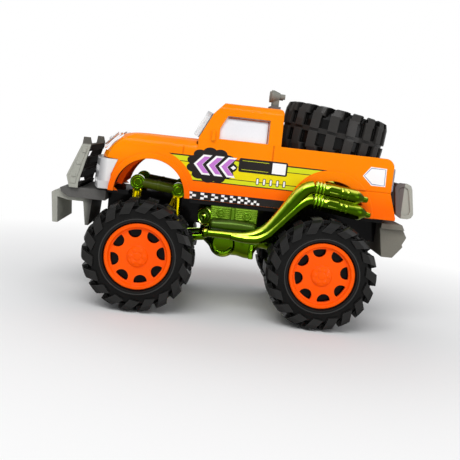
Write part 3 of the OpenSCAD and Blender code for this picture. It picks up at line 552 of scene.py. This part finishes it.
def piece(name, form, body, finish, smooth=True, stands_for=()):
    mesh = bpy.data.meshes.new(name)
    mesh.from_pydata([tuple(c * MM for c in v) for v in form.verts], [], form.faces)
    if smooth:
        work = bmesh.new()
        work.from_mesh(mesh)
        bmesh.ops.recalc_face_normals(work, faces=work.faces)
        work.to_mesh(mesh)
        work.free()
        mesh.shade_smooth()
        mesh.set_sharp_from_angle(angle=SHARP_ANGLE)
    mesh.materials.append(finish)
    obj = bpy.data.objects.new(name, mesh)
    bpy.context.collection.objects.link(obj)
    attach(obj, body)
    if stands_for:
        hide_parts(*stands_for)


def both_sides(name, form, body, slot, stands_for=None, finish=None):
    for side, shape in (("left", form), ("right", form.mirrored())):
        piece(f"{name}_{side}", shape, body, finish or FINISHES[slot],
              stands_for=(f"{stands_for}_{side}",) if stands_for else ())


def rounded(x0, x1, z0, z1, r, steps=5):
    """Outline of a rectangle with rounded corners."""
    out = []
    corners = ((x1 - r, z1 - r, 0), (x0 + r, z1 - r, 90), (x0 + r, z0 + r, 180), (x1 - r, z0 + r, 270))
    for cx, cz, a0 in corners:
        for k in range(steps + 1):
            a = math.radians(a0 + 90 * k / steps)
            out.append((cx + r * math.cos(a), cz + r * math.sin(a)))
    return out


# Side exhausts: distance ahead of the rear axle, height, pipe radius, distance outwards

EXHAUST_Y = middle("exhaust_left").y
UPPER_PIPE = [(86.8, 59.6, 2.5, 0), (74, 59.6, 2.7, 0), (62, 59.6, 3.0, 0), (53, 60.2, 4.0, -0.4),
              (45.5, 62.6, 5.0, -0.8), (38.9, 67.6, 5.4, -0.8), (31.2, 77.6, 5.6, -0.8),
              (24.6, 87.2, 5.7, -0.6), (20, 93.8, 5.6, -0.3), (15.5, 98.4, 5.4, 0), (10.6, 100.2, 5.2, 0)]
LOWER_PIPE = [(66, 59.0, 2.4, 1.0), (56, 58.2, 2.8, 1.6), (47, 59.0, 3.2, 2.2), (40, 62.6, 3.5, 2.4),
              (34.6, 68, 3.6, 2.4), (28.4, 75.2, 3.8, 2.2), (23.4, 81.2, 4.2, 1.6), (19, 86.2, 4.7, 0.8),
              (14.8, 89.6, 5.0, 0.2), (10.6, 90.6, 5.0, 0)]
# mufflers: slope in degrees, length
UPPER_MUFFLER = (6.8, 39.6)
LOWER_MUFFLER = (7.8, 43.0)
# along a muffler: distance from its front and radius, then distance from its end and radius
MUFFLER_FRONT = [(0, 5.1), (7.6, 5.1), (9.2, 5.7)]
MUFFLER_END = [(-11, 5.6), (-9, 5.4), (-7.5, 4.9), (-6, 4.0), (-4.5, 3.0), (-3.6, 2.4), (-1, 2.1),
               (-0.3, 1.7), (0.0, 0.8)]
MUFFLER_STEP = 0.4
CLAMPS = (0.6, 3.0, 5.4)
CLAMP = [(0, 5.0), (0.25, 5.8), (0.9, 5.9), (1.3, 5.7), (1.5, 5.0)]
# cap on the front end of the upper pipe: distance ahead of the rear axle, height, turned profile
PIPE_CAP_PLACE = (83, 59.6)
PIPE_CAP = [(0, 2.6), (0.4, 3.4), (1.6, 3.6), (2.8, 3.4), (3.4, 2.6), (3.8, 1.2)]
# raised bars on a muffler: from and to along it, angle above level, half width in degrees
MUFFLER_BARS = [(9.8, 18.2, 38, 15), (19.6, 20.9, 30, 16), (23.4, 24.7, 28, 16), (10.4, 17.4, -12, 12),
                (19.2, 20.5, -16, 13), (23.0, 24.3, -16, 13)]
BAR_HEIGHT, BAR_FLANK = 0.55, 0.5


def muffler(form, clamps, start, slope, length):
    """One muffler from its front end, with its raised bars and clamps."""
    ahead = Vector((-math.cos(math.radians(slope)), 0, -math.sin(math.radians(slope))))
    shape = MUFFLER_FRONT + [(length + d, r) for d, r in MUFFLER_END]
    stops = []
    for (d0, r0), (d1, r1) in zip(shape, shape[1:]):
        count = max(1, round((d1 - d0) / MUFFLER_STEP))
        stops += [(d0 + (d1 - d0) * k / count, r0 + (r1 - r0) * k / count) for k in range(count)]
    stops.append(shape[-1])

    def raised(i, angle):
        d = stops[i][0]
        above = -((math.degrees(angle) + 180) % 360 - 180)
        for d0, d1, mid, half in MUFFLER_BARS:
            rise = min(d - d0, d1 - d, (half - abs(above - mid)) / 10) / BAR_FLANK
            if rise > 0:
                return BAR_HEIGHT * min(1, rise)
        return 0

    form.tube([start + ahead * d for d, r in stops], [r for d, r in stops], sides=96, raised=raised)
    for d in CLAMPS:
        clamps.lathe(start + ahead * d, ahead, CLAMP)


def exhaust():
    form, clamps = Form(), Form()
    for rows, (slope, length) in ((UPPER_PIPE, UPPER_MUFFLER), (LOWER_PIPE, LOWER_MUFFLER)):
        path = smooth_rows(rows, 8)
        points = [Vector((REAR_X + u, EXHAUST_Y + y, z)) for u, z, r, y in path]
        form.tube(points, [r for u, z, r, y in path], sides=40)
        u, z = rows[-1][:2]
        muffler(form, clamps, Vector((REAR_X + u, EXHAUST_Y, z)), slope, length)
    cap_x, cap_z = PIPE_CAP_PLACE
    form.lathe((REAR_X + cap_x, EXHAUST_Y, cap_z), (1, 0, 0), PIPE_CAP, sides=28)
    both_sides("exhaust_pipes", form, "truck", "green_chrome", "exhaust")
    both_sides("exhaust_clamps", clamps, "truck", "green_chrome", finish=CLAMP_PLATING)


exhaust()


# Engine flanks: places along the truck and heights

BLOCK = (-17.6, 16.8, 67.4, 79.0)
BLOCK_Y = 44.0
DRUM, DRUM_AXIS = (17.8, 36.4, 70.0), (0.66, 0.75, 0)
ENGINE_CAPS = [(9.2, 74.4), (-9.8, 73.6)]
# ribs: bare strip at the block's ends, edges of the middle post; count, height of the first, pitch, width
RIB_MARGIN, POST_REAR, POST_FRONT = 0.6, -1.7, 2.7
RIB_COUNT, RIB_FOOT, RIB_PITCH, RIB_WIDE = 7, 1.6, 1.42, 0.7
# manifold: its middle across the truck and height, its reach in both, the swell along it
MANIFOLD_Y, MANIFOLD_Z = 44.2, 66.0
MANIFOLD_WIDE, MANIFOLD_TALL, MANIFOLD_SWELL = 5.4, 4.4, 0.5
# turned profiles: distance along the axis, radius
ENGINE_CAP = [(0, 3.1), (1.0, 3.1), (1.5, 2.7), (1.6, 2.3), (1.1, 1.8), (1.0, 1.2), (2.0, 0.9), (2.2, 0.2)]
DRUM_SHELL = [(-3, 6.0), (0, 6.9), (2.6, 7.3), (3.6, 7.2), (4.0, 6.9), (3.4, 0.3)]
DRUM_RIM = [(3.4, 7.1), (4.2, 7.0), (4.7, 6.5), (4.7, 5.9), (4.2, 5.4), (3.3, 5.3)]
DRUM_FACE = [(3.0, 4.6), (4.2, 4.5), (5.0, 4.0), (5.2, 3.2), (4.6, 2.6), (4.5, 0.3)]
DRUM_NUT = [(4.4, 2.3), (5.2, 2.2), (5.8, 1.6), (6.1, 0.9), (6.2, 0.2)]


def engine():
    form, lower, trim = Form(), Form(), Form()
    x0, x1, z0, z1 = BLOCK
    form.slab(rounded(x0, x1, z0, z1, 0.9), reach("engine_left", 1, 0), BLOCK_Y, edge=0.6)
    for a, b in ((x0 + RIB_MARGIN, POST_REAR), (POST_FRONT, x1 - RIB_MARGIN)):
        for k in range(RIB_COUNT):
            z = z0 + RIB_FOOT + RIB_PITCH * k
            form.slab(rounded(a, b, z, z + RIB_WIDE, 0.3, 3), BLOCK_Y - 0.2, BLOCK_Y + 0.55, edge=0.22)
    form.slab(rounded(-1.2, 2.2, z0 + 0.2, z1 - 0.1, 0.8), BLOCK_Y - 1, BLOCK_Y + 2, edge=0.9)
    for x, z in ENGINE_CAPS:
        form.lathe((x, BLOCK_Y - 0.2, z), ACROSS, ENGINE_CAP, sides=32)
    manifold = []
    for k in range(41):
        x = x1 - (x1 - x0) * k / 40
        end = min(1.0, 0.35 + min(x1 - x, x - x0) / 3.0) ** 0.5
        tall = MANIFOLD_TALL + MANIFOLD_SWELL * math.cos(x / 6)
        ring = []
        for j in range(36):
            a = 2 * math.pi * j / 36
            ring.append(Vector((x, MANIFOLD_Y + MANIFOLD_WIDE * end * math.cos(a),
                                MANIFOLD_Z + tall * end * math.sin(a))))
        manifold.append(ring)
    lower.rings(manifold)
    form.lathe(DRUM, DRUM_AXIS, DRUM_SHELL)
    trim.lathe(DRUM, DRUM_AXIS, DRUM_RIM)
    # face of the drum in the darker green: painted shade in its recess
    lower.lathe(DRUM, DRUM_AXIS, DRUM_FACE)
    trim.lathe(DRUM, DRUM_AXIS, DRUM_NUT)
    both_sides("engine_flank", form, "truck", "green_chrome", "engine", finish=ENGINE_GREEN)
    both_sides("engine_manifold", lower, "truck", "green_chrome", finish=MANIFOLD_GREEN)
    both_sides("engine_drum", trim, "truck", "green_chrome", finish=CLAMP_PLATING)


engine()


# Gearbox casing: place along the truck, underside, top, half width

CASING = [(-45.6, 49, 59, 11), (-43.5, 46.5, 61, 15.5), (-38, 45, 61.9, 18.5), (-29, 46, 61.9, 19),
          (-23.5, 46.4, 61.9, 18.6), (-20.8, 43, 61.9, 17.8), (-19.2, 38.8, 61.9, 17.4),
          (-16.5, 37.2, 61.9, 17.4), (-12.5, 37.4, 61.9, 17.5), (-7, 38.6, 61.9, 18.2), (-1, 38.6, 61.9, 19),
          (5, 38.4, 61.9, 19.3), (9.5, 39.4, 61.9, 19.2), (13, 42.2, 61.9, 18.8), (16, 45.4, 61.9, 18.2),
          (20, 48.8, 61, 17), (23, 52, 59, 13)]
SUMP_X, SUMP_Z = 4.45, 48.0
SUMP_FACE = [(12, 10.6), (15.5, 10.4), (17.6, 9.6), (18.8, 8.4), (19.2, 7.2), (18.9, 6.2), (18.0, 5.2),
             (17.6, 3.6), (17.5, 0.3)]
# lip round the lower half of the sump: radius of its sweep, start and turn in degrees
LIP_R, LIP_START, LIP_TURN, LIP_STEPS = 6.8, 182, 140, 24
# arms to the front axle, on both sides: place along the truck and height
ARM = [(19, 52.2), (26, 51.2), (38, 49.6), (55.6, 47.2)]
ARM_Y = 14
CASING_BOLTS = [(-38, 53.5), (-29, 53.5), (-4, 56), (12.5, 56)]
CASING_BOLT = [(0, 1.7), (1.5, 1.7), (1.8, 1.4), (1.8, 0.2)]


def gearbox():
    form, trim = Form(), Form()
    rings = []
    for x, low, high, w in smooth_rows(CASING, 6):
        mid, tall = (low + high) / 2, (high - low) / 2
        ring = []
        for k in range(48):
            a = 2 * math.pi * k / 48
            c, s = math.cos(a), math.sin(a)
            y = math.copysign(abs(c) ** 0.5, c) * w
            z = math.copysign(abs(s) ** 0.62, s) * tall
            ring.append(Vector((x, y, mid + z)))
        rings.append(ring)
    form.rings(rings)
    form.lathe((SUMP_X, 0, SUMP_Z), ACROSS, [(-d, r) for d, r in reversed(SUMP_FACE)] + SUMP_FACE)
    arm = smooth_rows(ARM, 6)
    arm_radii = [3.2 - 0.6 * k / len(arm) for k in range(len(arm))]
    sweep = [math.radians(LIP_START + LIP_TURN * k / LIP_STEPS) for k in range(LIP_STEPS + 1)]
    lip_radii = [0.2 + 2.1 * math.sin(math.pi * k / LIP_STEPS) ** 0.7 for k in range(LIP_STEPS + 1)]
    for s in (-1, 1):
        form.tube([Vector((x, s * ARM_Y, z)) for x, z in arm], arm_radii, sides=24)
        trim.slab(rounded(-19.6, -15.6, 38.6, 50, 0.9), s * 15, s * 19.6, edge=0.8)
        trim.slab(rounded(-18.6, -16.6, 43.4, 45.8, 0.4), s * 19.3, s * 19.95, edge=0.3)
        lip = [Vector((SUMP_X + LIP_R * math.cos(a), s * 18.2, SUMP_Z + LIP_R * math.sin(a))) for a in sweep]
        trim.tube(lip, lip_radii, sides=20)
        for x, z in CASING_BOLTS:
            form.lathe((x, s * 18, z), (0, s, 0), CASING_BOLT, sides=6)
    piece("gearbox_trim", trim, "truck", CLAMP_PLATING)
    piece("gearbox_casing", form, "truck", CASING_PLATING, stands_for=("gearbox",))


gearbox()


# Wheels: cap over each axle end with six bosses, dark drum behind the rim openings

CAP = [(-1.0, 1.2), (-1.0, 3.0), (0.9, 3.0), (1.25, 2.75), (1.45, 2.2), (1.55, 1.2), (1.58, 0.1)]
BOSS = [(-1.0, 1.7), (0.9, 1.7), (1.25, 1.4), (1.4, 0.8), (1.42, 0.1)]
BOSS_COUNT, BOSS_RING = 6, 4.5
RIM_DRUM = [(-16, 5.2), (-16, 20.6), (-0.4, 20.6), (0, 20.2), (0, 14), (-1.2, 13.4), (-1.2, 9), (0, 8.4),
            (0, 5.2)]
CAP_DEPTH, DRUM_DEPTH = 1.2, 6.4


def wheel_trim():
    face = reach("rim_front_left", 1, 1) - 0.5
    for axle, x in (("front", FRONT_X), ("rear", REAR_X)):
        body = f"{axle}_wheelset"
        cap = Form()
        cap.lathe((x, face - CAP_DEPTH, AXLE_Z), ACROSS, CAP)
        for k in range(BOSS_COUNT):
            a = 2 * math.pi * k / BOSS_COUNT
            boss = (x + BOSS_RING * math.cos(a), face - CAP_DEPTH, AXLE_Z + BOSS_RING * math.sin(a))
            cap.lathe(boss, ACROSS, BOSS, sides=24)
        drum = Form()
        drum.lathe((x, face - DRUM_DEPTH, AXLE_Z), ACROSS, RIM_DRUM)
        for side, c, d in (("left", cap, drum), ("right", cap.mirrored(), drum.mirrored())):
            piece(f"hub_cap_{axle}_{side}", c, body, FINISHES["rim_plastic"])
            piece(f"rim_drum_{axle}_{side}", d, body, FINISHES["black_plastic"])


wheel_trim()


# Lamps: where a headlamp's axis starts, how it leans, and how far along it the dish and bulb are

LAMP_FOOT = (74.25, 25, 99.5)
LAMP_TILT, LAMP_TURN = math.radians(46), math.radians(8)
DISH_AT, BULB_AT = 26.9, 27.2
DISH = [(0, 0.3), (0, 5.6), (1.0, 6.9), (1.25, 7.0), (1.25, 6.6), (0.5, 5.4), (0.3, 2.2)]
BULB = [(0, 2.0), (1.4, 2.0), (2.0, 1.4), (2.2, 0.2)]
ROOF_LAMP_R = 4.3
ROOF_GLASS = [(-0.6, 3.5), (0, 3.5), (0.05, 3.3), (0.09, 2.2), (0.1, 0.2)]


def lamp_insides():
    """Dishes and bulbs in the headlamps, glasses on the roof lamps."""
    form = Form()
    flat = math.sin(LAMP_TILT)
    axis = Vector((flat * math.cos(LAMP_TURN), flat * math.sin(LAMP_TURN), math.cos(LAMP_TILT)))
    foot = Vector(LAMP_FOOT)
    form.lathe(foot + axis * DISH_AT, axis, DISH)
    form.lathe(foot + axis * BULB_AT, axis, BULB, sides=24)
    both_sides("headlamp_dish", form, "truck", "silver_plastic")
    high = Vector(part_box("light_bar")[1]) / MM
    glass = Form()
    glass.lathe((high.x - 0.1, high.y - ROOF_LAMP_R, high.z - ROOF_LAMP_R), (1, 0, 0), ROOF_GLASS, sides=36)
    both_sides("roof_lamp_glass", glass, "truck", "milky_plastic")


lamp_insides()


# Front guard: raised panel and bolts on the side plates

GUARD_PANEL = [(116.4, 83.2), (120.3, 83.2), (121.9, 89), (113.2, 111), (109.4, 111), (115.8, 87)]
GUARD_BOLTS = [(111.9, 107.5), (115.2, 98.5), (118.0, 89.5)]


def guard_panels():
    y = reach("front_guard", 1, 1)
    form = Form()
    form.slab(GUARD_PANEL, y - 0.5, y + 0.5, edge=0.5)
    for x, z in GUARD_BOLTS:
        form.slab(rounded(x - 1.6, x + 1.6, z - 1.3, z + 1.3, 0.7), y + 0.3, y + 1.1, edge=0.5)
    both_sides("guard_panel", form, "truck", "grey_plastic", finish=PIECE_FINISHES["front_guard"])


guard_panels()


# Front wheel wells: wall behind the nose, and the dark flange at its ends

FLANGE_R = 25.4
WALL_R = 21.5
WELL_BACK = 26.3
WALL_Y, FLANGE_Y = 33, 41.5
WELL_ARC = [math.radians(12 + 4 * k) for k in range(18)]
# pieces: name, inner radius, its two sides across the truck, finish, slot
WELL_PIECES = [
    ("front_well_wall", WALL_R, -WALL_Y, WALL_Y, WELL_PLASTIC, "orange_plastic"),
    ("front_well_flange_left", FLANGE_R, WALL_Y, FLANGE_Y, FINISHES["motor_plastic"], "black_plastic"),
    ("front_well_flange_right", FLANGE_R, -FLANGE_Y, -WALL_Y, FINISHES["motor_plastic"], "black_plastic"),
]


def wheel_wells():
    cx, cz = FRONT_ARCH_X, SILL_Z
    for name, r0, y0, y1, finish, slot in WELL_PIECES:
        form = Form()
        rings = []
        for k, a in enumerate(WELL_ARC):
            inner = r0 + (WELL_BACK - 0.5 - r0) * (k / (len(WELL_ARC) - 1)) ** 2
            rings.append([Vector((cx + r * math.cos(a), y, cz + r * math.sin(a)))
                          for r, y in ((inner, y0), (inner, y1), (WELL_BACK, y1), (WELL_BACK, y0))])
        form.rings(rings)
        piece(name, form, "truck", finish)


wheel_wells()


# Dampers: thick link between the two eyelets, and a fork of two posts under each

DAMPER_Y = middle("dampers_left").y
EYELET_FACE = reach("dampers_left", 1, 1) - 0.8
# eyelets: place along the truck, height, lean of the fork under it
EYELETS = [(72.25, 89.0, 0.0), (41.75, 86.0, 3.6)]
# rings on an eyelet: radius, distance outwards
EYELET_RINGS = [(4.5, 0.0), (2.6, 0.6)]
LINK_R, COLLAR_R, LINK_END_R = 3.6, 3.9, 3.42
FORK_HALF, FORK_TOP, FORK_FOOT = 1.9, 4.2, 13.5


def damper_links():
    link, forks, rings = Form(), Form(), Form()
    (x0, z0, _), (x1, z1, _) = EYELETS
    start, run = Vector((x0, DAMPER_Y, z0)), Vector((x1 - x0, 0, z1 - z0))
    size = run.length
    half = size / 2
    link.lathe(start, run, [(3.5, LINK_END_R), (4.6, LINK_R), (half - 1.2, LINK_R), (half - 1, COLLAR_R),
                            (half + 1, COLLAR_R), (half + 1.2, LINK_R), (size - 4.6, LINK_R),
                            (size - 3.5, LINK_END_R)], sides=36)
    for x, z, lean in EYELETS:
        for r, out in EYELET_RINGS:
            bead = [(-0.6, r - 0.6), (0.2, r - 0.55), (0.45, r - 0.3), (0.45, r + 0.1), (0.2, r + 0.4),
                    (-0.6, r + 0.45)]
            rings.lathe((x, EYELET_FACE - 0.3 + out, z), ACROSS, bead)
        for dx in (-FORK_HALF, FORK_HALF):
            top = Vector((x + dx, DAMPER_Y, z - FORK_TOP))
            fork = Vector((x + dx + lean, DAMPER_Y, z - FORK_FOOT)) - top
            post = [(0, 1.2), (0.4, 1.5), (3.0, 1.5), (3.3, 1.3), (fork.length, 1.3)]
            forks.lathe(top, fork, post, sides=16)
    both_sides("eyelet_rings", rings, "truck", "green_chrome", finish=CLAMP_PLATING)
    both_sides("damper_link", link, "truck", "green_chrome", finish=LINK_GREEN)
    both_sides("damper_fork", forks, "truck", "green_chrome", finish=POST_GOLD)


damper_links()


# Window shadow lines: thin dark strips that paint the shade under the top and along the rear of each side
# window

WINDOW = (-18.6, 10.6, 127.3, 143.2)
TOP_SHADOW_LINE, REAR_SHADOW_LINE = 0.9, 0.6
# the cab side leans in by the first value from the second height, over the third
CAB_LEAN = (4.0, 126.3, 26.7)


def window_shadow_lines():
    x0, x1, z0, z1 = WINDOW
    lean, foot, rise = CAB_LEAN
    form = Form()
    top = [(x0, z1 - TOP_SHADOW_LINE), (x1 + 0.6, z1 - TOP_SHADOW_LINE), (x1, z1), (x0, z1)]
    rear = [(x0, z0), (x0 + REAR_SHADOW_LINE, z0), (x0 + REAR_SHADOW_LINE, z1), (x0, z1)]
    for outline in (top, rear):
        ring = [Vector((x, SIDE_Y - lean * (z - foot) / rise - 1.0, z)) for x, z in outline]
        form.rings([ring, [v - Vector((0, 0.8, 0)) for v in ring]])
    both_sides("window_shadow_line", form, "truck", "black_plastic", finish=WINDOW_SHADOW_PLASTIC)


window_shadow_lines()


# Printed stickers on the body sides, in x and z; each layer lies on the one before

FILM = 0.04
BADGE_Z = 107.6
CHECK_X, CHECK_Z, CHECK_PITCH, CHECK_TALL = 31.2, 84.9, 8.6, 1.62
# squares of one check: steps along and up from its middle, fewer towards the rear
CHECKS = [((0, 1), (-1, 0), (0, -1)), ((-1, 0), (0, -1)), ((0, -1),)]
TAG = [(-90.9, 112.4), (-95.7, 118.6), (-106.4, 118.5), (-106.8, 106.4), (-97.4, 106.6)]
FRONT_LIP = (FRONT_ARCH_X, SILL_Z, 33.4)
REAR_LIP = (REAR_ARCH_X, SILL_Z, 31.8)


def band(z0, z1, steps=10):
    """Strip of the side band, following the two arch lips."""
    front, rear = [], []
    for k in range(steps + 1):
        z = z0 + (z1 - z0) * k / steps
        for (cx, cz, r), out, s in ((FRONT_LIP, front, -1), (REAR_LIP, rear, 1)):
            out.append((cx + s * math.sqrt(max(r * r - (z - cz) ** 2, 0.0)), z))
    return front + rear[::-1]


def lobed(cx, cz, w, h, lobes, depth, steps=144):
    """Oval with a scalloped rim."""
    out = []
    for k in range(steps):
        a = 2 * math.pi * k / steps
        r = 1 - depth * (1 - abs(math.sin(lobes * a / 2)) ** 0.8)
        out.append((cx + w * r * math.cos(a), cz + h * r * math.sin(a)))
    return out


def chevron(x, z, w, h, arm):
    """Arrow head that points to the front of the truck."""
    return [(x, z + h), (x + w, z), (x, z - h), (x - arm, z - h), (x + w - arm, z), (x - arm, z + h)]


def rect(x0, x1, z0, z1):
    return [(x0, z0), (x1, z0), (x1, z1), (x0, z1)]


def stickers():
    rows = []

    def put(ink, layer, outline):
        rows.append((ink, layer, outline))

    put("yellow", 1, band(99.2, 108.6))
    put("lime", 1, band(95.8, 99.2))
    put("lime", 1, band(108.6, 112.7))
    for z, t in ((112.9, 0.9), (108.6, 0.5), (99.2, 0.5), (95.7, 0.7)):
        put("black", 2, band(z - t / 2, z + t / 2, 2))
    put("black", 3, lobed(19.4, BADGE_Z, 18.4, 12.8, 11, 0.13))
    for x in (8.0, 17.0, 26.0):
        put("white", 4, chevron(x, BADGE_Z, 6.4, 7.2, 6.2))
        put("purple", 5, chevron(x - 0.9, BADGE_Z, 5.4, 5.9, 4.0))
    put("white", 4, [(1.8 + 0.5 * k, BADGE_Z + s) for k, s in ((0, 0), (4, 1.5), (8, 0), (4, -1.5))])
    put("black", 3, rounded(-35.3, 0.1, 105.3, 115.3, 1.4))
    put("white", 4, rect(-34.0, -24.2, 106.4, 114.2))
    for z in (107.0, 113.4):
        put("lime", 4, rect(-21.6, -2.2, z, z + 0.3))
    for k in range(5):
        x = -14.6 - 4.85 * k
        put("black", 3, rounded(x - 1.1, x + 1.1, 97.2, 102.2, 0.8))
        put("white", 4, rounded(x - 0.65, x + 0.65, 97.7, 101.7, 0.5))
    put("black", 1, rect(-36.5, 36.5, 82.1, 87.8))
    x, pitch = CHECK_X, CHECK_PITCH
    for k in range(9):
        wide = 1.15 + 0.18 * pitch
        for dx, dz in CHECKS[max(0, k - 6)]:
            put("white", 2, rect(x + dx * wide, x + (dx + 1) * wide, CHECK_Z + (dz - 0.5) * CHECK_TALL,
                                 CHECK_Z + (dz + 0.5) * CHECK_TALL))
        x, pitch = x - pitch, pitch * 0.9
    put("white", 1, inset(TAG, -0.8))
    put("blue_grey", 2, TAG)
    put("white", 3, inset(TAG, 0.6))
    for ink, finish in INKS.items():
        form = Form()
        for kind, layer, outline in rows:
            if kind == ink:
                form.sheet(outline, SIDE_Y + FILM * layer)
        for side, shape in (("left", form), ("right", form.mirrored())):
            piece(f"sticker_{ink}_{side}", shape, "truck", finish, smooth=False)


stickers()


# Stage, light and camera

FLOOR_HALF = 6.0
FLOOR_FADE = (0.13, 0.42)
ROOM_LIGHT = (0.40, 0.405, 0.415)
# light panels: name, size, place, aim, strength
LIGHT_PANELS = [
    ("key", (0.9, 0.6), (0.25, 0.9, 1.0), (0, 0, 0.08), 9.5),
    ("fill", (0.6, 0.6), (-0.8, 0.9, 0.32), (0, 0, 0.08), 3.2),
    ("back", (1.0, 0.5), (0.2, -0.9, 0.9), (0, 0, 0.1), 3),
]
# camera: azimuth, elevation and roll in degrees, place, focal length and picture width in pixels
CAMERA_TURN = (-2.324, 7.243, 6.459)
CAMERA_PLACE = (0.023547, 0.595343, 0.132766)
FOCAL_PIXELS, PICTURE_PIXELS = 765.87, 460
SENSOR_MM = 36


def light_panel(name, size, place, aim, strength):
    lamp = bpy.data.lights.new(name, "AREA")
    lamp.shape = "RECTANGLE"
    lamp.size, lamp.size_y = size
    lamp.energy = strength
    obj = bpy.data.objects.new(name, lamp)
    bpy.context.collection.objects.link(obj)
    obj.location = place
    obj.rotation_euler = (Vector(aim) - Vector(place)).to_track_quat("-Z", "Y").to_euler()


def stage_sheet(name, corners, material):
    mesh = bpy.data.meshes.new(name)
    mesh.from_pydata(corners, [], [(0, 1, 2, 3)])
    mesh.materials.append(material)
    obj = bpy.data.objects.new(name, mesh)
    bpy.context.collection.objects.link(obj)


def seen_rays(t):
    """Mask of the rays that show a surface, straight, mirrored or through a clear piece."""
    path = t.add("ShaderNodeLightPath")
    return t.math("MAXIMUM", path.outputs["Is Camera Ray"],
                  t.math("MAXIMUM", path.outputs["Is Glossy Ray"], path.outputs["Is Transmission Ray"]))


def floor():
    """Pale floor that is white away from the truck and keeps its shadow."""
    material, t, shader = finish_of("floor")
    noise = t.add("ShaderNodeTexNoise", Scale=6.0)
    tone = t.blend(noise.outputs["Fac"], (0.84, 0.84, 0.84), (0.87, 0.87, 0.87))
    t.join(tone, shader.inputs["Base Color"])
    shader.inputs["Roughness"].default_value = 0.9
    shader.inputs["Specular IOR Level"].default_value = 0.1
    away = t.add("ShaderNodeVectorMath", operation="LENGTH")
    t.join(t.add("ShaderNodeTexCoord").outputs["Object"], away.inputs[0])
    far = t.math("MULTIPLY", t.ramp(away.outputs["Value"], *FLOOR_FADE), seen_rays(t))
    white = t.add("ShaderNodeEmission", Strength=1.0)
    mix = t.add("ShaderNodeMixShader")
    t.join(far, mix.inputs[0])
    t.join(shader.outputs[0], mix.inputs[1])
    t.join(white.outputs[0], mix.inputs[2])
    t.join(mix.outputs[0], material.node_tree.nodes["Material Output"].inputs["Surface"])
    s = FLOOR_HALF
    stage_sheet("floor", [(-s, -s, 0), (s, -s, 0), (s, s, 0), (-s, s, 0)], material)


def white_room():
    world = bpy.data.worlds.new("room")
    bpy.context.scene.world = world
    world.use_nodes = True
    t = Tree(world.node_tree)
    colour = t.blend(seen_rays(t), ROOM_LIGHT, (1, 1, 1))
    t.join(colour, world.node_tree.nodes["Background"].inputs["Color"])


def photo_camera():
    """Low view of the left side, with the truck tilted nose up in the frame."""
    az, el, roll = (math.radians(a) for a in CAMERA_TURN)
    back = Vector((-math.sin(az) * math.cos(el), math.cos(az) * math.cos(el), math.sin(el)))
    level = Vector((0, 0, 1)).cross(back).normalized()
    upright = back.cross(level)
    right = math.cos(roll) * level + math.sin(roll) * upright
    up = -math.sin(roll) * level + math.cos(roll) * upright
    data = bpy.data.cameras.new("camera")
    data.sensor_width = SENSOR_MM
    data.lens = SENSOR_MM * FOCAL_PIXELS / PICTURE_PIXELS
    data.clip_start = 0.01
    obj = bpy.data.objects.new("camera", data)
    bpy.context.collection.objects.link(obj)
    place = Vector(CAMERA_PLACE)
    obj.matrix_world = Matrix((
        (right.x, up.x, back.x, place.x), (right.y, up.y, back.y, place.y),
        (right.z, up.z, back.z, place.z), (0, 0, 0, 1)))
    bpy.context.scene.camera = obj


floor()
white_room()
photo_camera()
for panel in LIGHT_PANELS:
    light_panel(*panel)
bpy.context.scene.view_settings.view_transform = "Standard"
